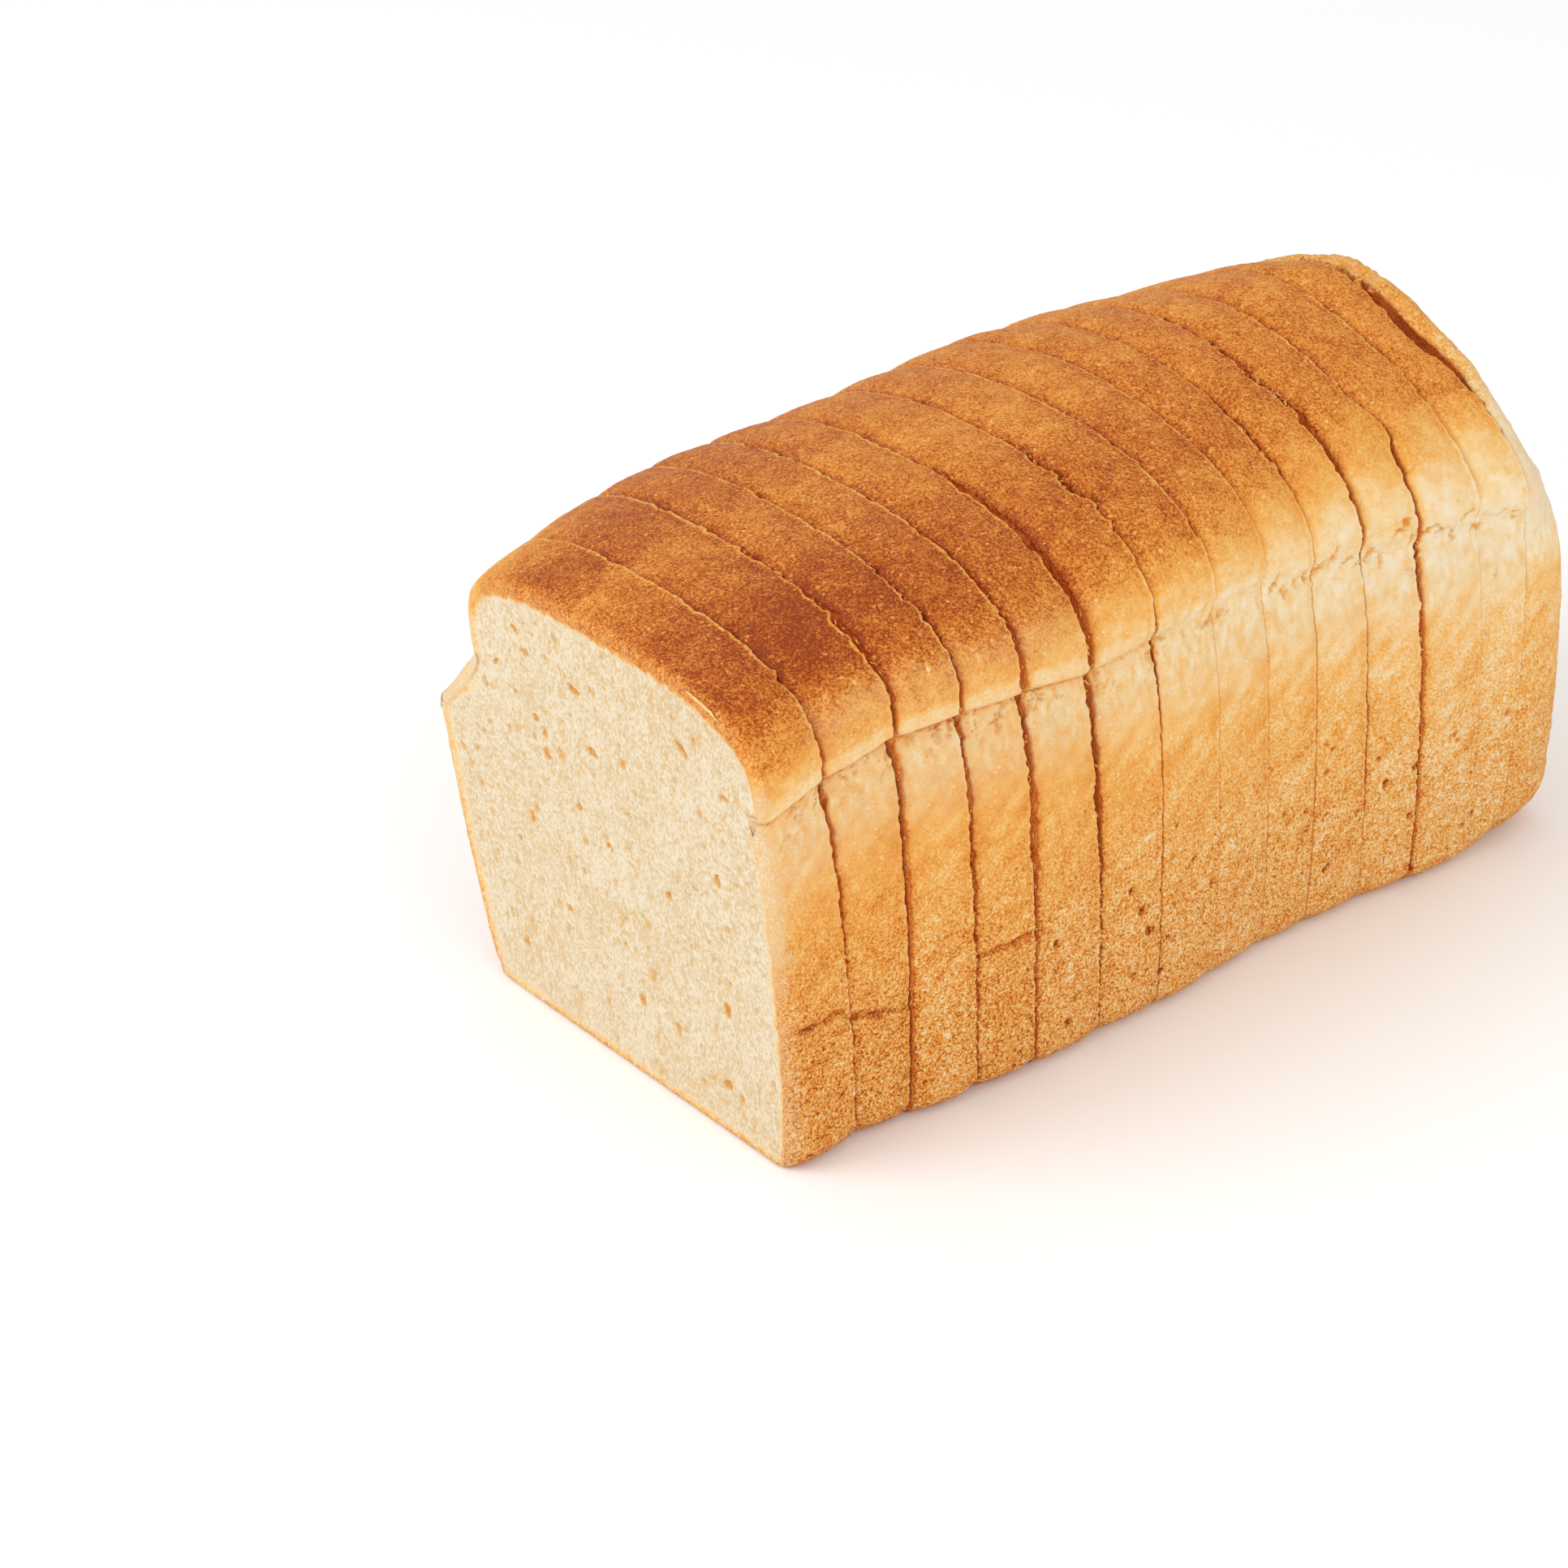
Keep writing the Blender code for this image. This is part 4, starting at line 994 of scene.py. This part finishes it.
def add_end(piece, ring_first, ring, steps):
    """The flat end of the heel, pressed against the end of the tin: the same square grid, bulged a
    little by a parabola and finished as crust."""
    i, j = np.meshgrid(np.arange(steps + 1), np.arange(steps + 1), indexing="ij")
    at, out = perimeter(i.astype(float), j.astype(float), steps)
    inside = out < 1.0 - 1e-9
    middle = np.array([ring[:, 0].mean(), ring[:, 1].mean(), 44.0])
    steps_round = np.arange(AROUND + 1)
    edge_at = np.stack([np.interp(at[inside], steps_round, np.append(ring[:, a], ring[0, a])) for a in range(3)], -1)
    points = middle + (edge_at - middle) * out[inside][:, None]
    points[:, 1] = edge_at[:, 1] * out[inside] ** 6 + (ring[:, 1].mean() + 0.5) * (1 - out[inside] ** 6)
    below = points[:, 2] - (WAIST_HEIGHT + RIM_LIFT[-1])
    relief, bake, grain = crust_finish(points, below * 0.9, np.zeros(len(points)))
    points[:, 1] += relief * smooth_step(1.0, 0.97, out[inside])
    new = piece.add_points(points, bake, 0.8, 1.0, grain)
    number = np.zeros(i.shape, int)
    number[inside] = new + np.arange(inside.sum())
    number[~inside] = ring_first + np.rint(at[~inside]).astype(int) % AROUND
    corners = np.stack([number[:-1, :-1], number[:-1, 1:], number[1:, 1:], number[1:, :-1]], -1).reshape(-1, 4)
    piece.add_faces(corners, flat_layout(np.concatenate(piece.points), corners, True), 0)


add_end(heel, first + (len(HEEL_ROWS) - 1) * AROUND, moved[-1], HEEL_END_STEPS)
heel_piece = heel.make("bread_end_crust", bread_finishes)
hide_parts("end_crust")
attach(heel_piece, "root")

# ---- THE TORN BITS --------------------------------------------------------------------------------
# Crumbs and shreds that the saw tore loose and left hanging at the cuts and along the shred under the
# dome's edge, and the curl of crust that it lifted at the rim of the open face.

BIT_ROUND, BIT_UP = 7, 5


def bits(places, along, out, sizes, seed):
    """Small lumps of bread. Each is a ball stepped seven round and five up, swollen and dented by
    noise, stretched to its own length, width and height, and turned so that its length lies along one
    direction and its height stands in another."""
    turn = 2.0 * pi * np.arange(BIT_ROUND) / BIT_ROUND
    rise = pi * (np.arange(1, BIT_UP + 1)) / (BIT_UP + 1)
    ball = np.stack([np.outer(np.sin(rise), np.cos(turn)), np.outer(np.sin(rise), np.sin(turn)),
                     np.outer(np.cos(rise), np.ones(BIT_ROUND))], -1).reshape(-1, 3)
    ball = np.concatenate([ball, [(0, 0, 1), (0, 0, -1)]])
    lumps = np.broadcast_to(ball, (len(places),) + ball.shape)
    swell = 1.0 + 0.75 * ripple(lumps * 1.3 + 17.3 * np.arange(len(places))[:, None, None], seed)
    lumps = lumps * swell[..., None] * sizes[:, None, :]
    along = along / np.linalg.norm(along, axis=1, keepdims=True)
    width = np.cross(out, along)
    width /= np.linalg.norm(width, axis=1, keepdims=True)
    height = np.cross(along, width)
    axes = np.stack([along, width, height], 1)
    return places[:, None, :] + np.einsum("nki,nij->nkj", lumps, axes)


def bit_faces(count):
    """The faces of that many lumps: bands of squares round each and fans at its two ends."""
    k = np.arange(BIT_ROUND)
    n = (k + 1) % BIT_ROUND
    squares = np.concatenate([np.stack([r * BIT_ROUND + k, (r + 1) * BIT_ROUND + k, (r + 1) * BIT_ROUND + n,
                                        r * BIT_ROUND + n], 1) for r in range(BIT_UP - 1)])
    top, bottom, last = BIT_ROUND * BIT_UP, BIT_ROUND * BIT_UP + 1, (BIT_UP - 1) * BIT_ROUND
    ends = np.concatenate([np.stack([np.full_like(k, top), k, n], 1),
                           np.stack([last + k, np.full_like(k, bottom), last + n], 1)])
    step = (BIT_ROUND * BIT_UP + 2) * np.arange(count)[:, None, None]
    return (squares + step).reshape(-1, 4), (ends + step).reshape(-1, 3)


def place_on_cut(cut, at, ahead):
    """Points on the crust at a cut, at places round its outline, moved ahead along the loaf, with the
    direction round the outline and the direction out of it."""
    ring, way = outlines[cut]
    y, _ = cut_line(cut, -1.0, ring, way)
    here = np.stack([read_round(ring[:, 0], at), read_round(y, at) + ahead, read_round(ring[:, 1], at)], 1)
    facing = outward(ring)
    out = np.stack([read_round(facing[:, 0], at), 0 * at, read_round(facing[:, 1], at)], 1)
    along = np.stack([-out[:, 2], 0 * at, out[:, 0]], 1)
    return here, along, out


# where the crumbs hang: cut, first and last place round the outline, how many, how large
CRUMB_CLUSTERS = (
    (1, 330, 470, 18, 0.40), (2, 330, 385, 9, 0.45), (2, 385, 470, 10, 0.35), (3, 280, 460, 16, 0.38),
    (4, 280, 460, 16, 0.38), (5, 290, 330, 9, 0.42), (5, 440, 475, 9, 0.45), (6, 385, 465, 22, 0.50),
    (6, 282, 305, 9, 0.50), (7, 330, 470, 14, 0.36), (8, 330, 470, 14, 0.34), (9, 340, 470, 18, 0.38),
    (10, 384, 412, 16, 0.55), (10, 412, 480, 12, 0.45), (11, 360, 480, 16, 0.38), (12, 380, 470, 24, 0.42),
    (13, 446, 505, 34, 0.80), (13, 352, 366, 8, 0.55), (1, 130, 250, 14, 0.30), (2, 130, 260, 22, 0.34),
    (3, 130, 260, 26, 0.36), (4, 130, 260, 22, 0.34), (5, 130, 280, 26, 0.40), (10, 150, 260, 12, 0.32),
    (11, 150, 290, 16, 0.34))
luck = np.random.default_rng(21)
spots, lines, outs, scales, pale = [], [], [], [], []
for cut, first_place, last_place, many, large in CRUMB_CLUSTERS:
    at = luck.uniform(first_place, last_place, many)
    ring_gap = read_round(np.interp(np.arange(AROUND), GAP_PLACES, CUT_GAPS[cut - 1] + CUT_GAPS[cut - 1][:1]), at)
    here, along, out = place_on_cut(cut, at, 0.05 + ring_gap * luck.uniform(0.0, 0.9, many))
    size = large * luck.uniform(0.35, 1.0, many) ** 1.3
    spots.append(here - out * (0.10 + luck.uniform(0.1, 1.1, many)[:, None] * size[:, None]) + (0, 0.1, 0))
    lines.append(along + luck.normal(0, 0.5, (many, 3)))
    outs.append(out)
    scales.append(size[:, None] * luck.uniform((0.9, 0.3, 0.2), (2.3, 0.8, 0.5), (many, 3)))
    pale.append(0.15 * smooth_step(10.0, 2.0, np.interp(at, np.arange(AROUND), outlines[cut][1])))

spots, lines, outs, scales, pale = (np.concatenate(a) for a in (spots, lines, outs, scales, pale))
shape = bits(spots, lines, outs, scales, 41)
squares, ends = bit_faces(len(spots))
per_bit = shape.shape[1]
torn = Piece()
bit_bake = np.repeat(luck.uniform(0.42, 0.72, len(spots)), per_bit) + 0.1 * ripple(shape.reshape(-1, 3) / 0.6, 42)
bit_bake -= np.repeat(pale, per_bit)
torn.add_points(shape.reshape(-1, 3), bit_bake, 0.7, np.repeat(luck.uniform(0.8, 1.0, len(spots)), per_bit), 0.35)


def bit_layout(corners):
    """The flat layout of the lumps: each on its own small square, seen from above its middle."""
    bit = corners // per_bit
    across = int(np.ceil(np.sqrt(len(spots))))
    local = torn.points[0][corners] - spots[bit]
    flat = np.stack([local[..., 0] + 0.5 * local[..., 1], local[..., 2] - 0.5 * local[..., 1]], -1)
    cell = np.stack([bit % across, bit // across], -1)
    return (cell + 0.5 + (flat / 6.0).clip(-0.48, 0.48)) / across


torn.add_faces(squares, bit_layout(squares), 0)
torn.add_faces(ends, bit_layout(ends), 0)
torn_piece = torn.make("torn_bits", bread_finishes[:1])
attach(torn_piece, "root")

# the curl of crust that the saw lifted at the rim of the open face: a flat roll along the outline,
# widest and standing off furthest in the middle, both as sines
CURL_FROM, CURL_TO, CURL_STEPS, CURL_ROUND = 385.0, 354.0, 28, 10
t = np.linspace(0.0, 1.0, CURL_STEPS)
curl_at = CURL_FROM + (CURL_TO - CURL_FROM) * t
face_ring, face_way = outlines[0]
face_line = np.stack([face_ring[:, 0], cut_line(0, 1.0, face_ring, face_way)[0], face_ring[:, 1]], 1)
face_out = outward(face_ring)
stand = np.sin(pi * t)
out_at = np.stack([read_round(face_out[:, 0], curl_at), 0 * t, read_round(face_out[:, 1], curl_at)], 1)
middle = np.stack([read_round(face_line[:, a], curl_at) for a in range(3)], 1)
middle += out_at * (-0.9 + 0.9 * stand)[:, None] + np.outer(0.5 - 0.5 * stand, (0, 1, 0))
a = 2.0 * pi * np.arange(CURL_ROUND) / CURL_ROUND
wide = (0.08 + 0.62 * stand ** 0.8)[:, None] * np.cos(a)
thick = (0.05 + 0.13 * stand)[:, None] * np.sin(a)
tilt = 0.3
across_way = out_at * np.cos(tilt) + np.array((0, -np.sin(tilt), 0))
stand_way = out_at * np.sin(tilt) + np.array((0, np.cos(tilt), 0))
curl = middle[:, None] + wide[..., None] * across_way[:, None] + thick[..., None] * stand_way[:, None]
curl += 0.16 * ripple(curl / 0.9, 43)[..., None] * out_at[:, None]
lifted = Piece()
# the curl is coloured paler than the crust round it: a painted highlight where it catches the light
lifted.add_points(curl.reshape(-1, 3), 0.26 + 0.2 * ripple(curl.reshape(-1, 3) / 0.8, 44), 0.7, 1.0, 0.3)
lifted.add_points(np.stack([curl[0].mean(0), curl[-1].mean(0)]), 0.34, 0.7, 1.0, 0.3)
k, row = np.arange(CURL_ROUND), np.arange(CURL_STEPS - 1)[:, None] * CURL_ROUND
n = (k + 1) % CURL_ROUND
curl_sides = np.stack([row + k, row + CURL_ROUND + k, row + CURL_ROUND + n, row + n], -1).reshape(-1, 4)
tip = CURL_STEPS * CURL_ROUND
last_row = tip - CURL_ROUND
curl_tips = np.concatenate([np.stack([0 * k + tip, k, n], 1), np.stack([last_row + k, 0 * k + tip + 1, last_row + n], 1)])


def curl_layout(corners):
    """The flat layout of the curl: round it across, along it up."""
    row_of, turn_of = np.minimum(corners // CURL_ROUND, CURL_STEPS - 1), corners % CURL_ROUND
    return np.stack([turn_of / CURL_ROUND, row_of / CURL_STEPS], -1) * 0.9


lifted.add_faces(curl_sides, curl_layout(curl_sides), 0)
lifted.add_faces(curl_tips, curl_layout(curl_tips), 0)
curl_piece = lifted.make("crust_curl", bread_finishes[:1])
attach(curl_piece, "root")

# ---- THE TABLE TOP, THE LIGHT AND THE VIEW --------------------------------------------------------
# A plain white table top under a large soft light from the left and front, a weaker one from the
# right, and an even white room.

table = bpy.data.meshes.new("table top")
table.from_pydata([(-6, -6, 0), (6, -6, 0), (6, 6, 0), (-6, 6, 0)], [], [(0, 1, 2, 3)])
table_top = bpy.data.objects.new("table_top", table)
bpy.context.scene.collection.objects.link(table_top)
white = bpy.data.materials.new("white table")
white.use_nodes = True
white.node_tree.nodes["Principled BSDF"].inputs["Base Color"].default_value = (0.98, 0.98, 0.98, 1)
white.node_tree.nodes["Principled BSDF"].inputs["Roughness"].default_value = 0.9
white.node_tree.nodes["Principled BSDF"].inputs["Specular IOR Level"].default_value = 0.1
table.materials.append(white)

room = bpy.data.worlds.new("white room")
room.use_nodes = True
room.node_tree.nodes["Background"].inputs["Color"].default_value = (1.0, 1.0, 1.0, 1)
room.node_tree.nodes["Background"].inputs["Strength"].default_value = 0.81
bpy.context.scene.world = room


def soft_light(name, place, toward, size, strength):
    """A square soft light at a place, in metres, that looks at a point."""
    lamp = bpy.data.lights.new(name, "AREA")
    lamp.shape = "SQUARE"
    lamp.size = size
    lamp.energy = strength
    holder = bpy.data.objects.new(name, lamp)
    back = np.array(place, float) - np.array(toward, float)
    back /= np.linalg.norm(back)
    right = np.cross((0, 0, 1), back)
    right /= np.linalg.norm(right)
    up = np.cross(back, right)
    turn = Matrix(np.stack([right, up, back], 1).tolist()).to_4x4()
    holder.matrix_world = Matrix.Translation(place) @ turn
    bpy.context.scene.collection.objects.link(holder)


soft_light("window", (-0.5, -1.3, 1.1), (0, 0, 0.05), 1.2, 12.5)
soft_light("reflector", (1.5, -0.2, 0.7), (0, 0, 0.05), 1.2, 7.0)

camera_data = bpy.data.cameras.new("view")
camera_data.sensor_width = 36.0
camera_data.lens = 86.325
camera_data.clip_start, camera_data.clip_end = 0.01, 50.0
camera = bpy.data.objects.new("view", camera_data)
camera_axes = Matrix(((0.56615, -0.34454, 0.74885), (0.81901, 0.33795, -0.46370), (-0.09331, 0.87583, 0.47351)))
camera.matrix_world = Matrix.Translation((0.513617, -0.371178, 0.369750)) @ camera_axes.to_4x4()
bpy.context.scene.collection.objects.link(camera)
bpy.context.scene.camera = camera
bpy.context.scene.view_settings.view_transform = "Standard"
bpy.context.scene.view_settings.look = "None"
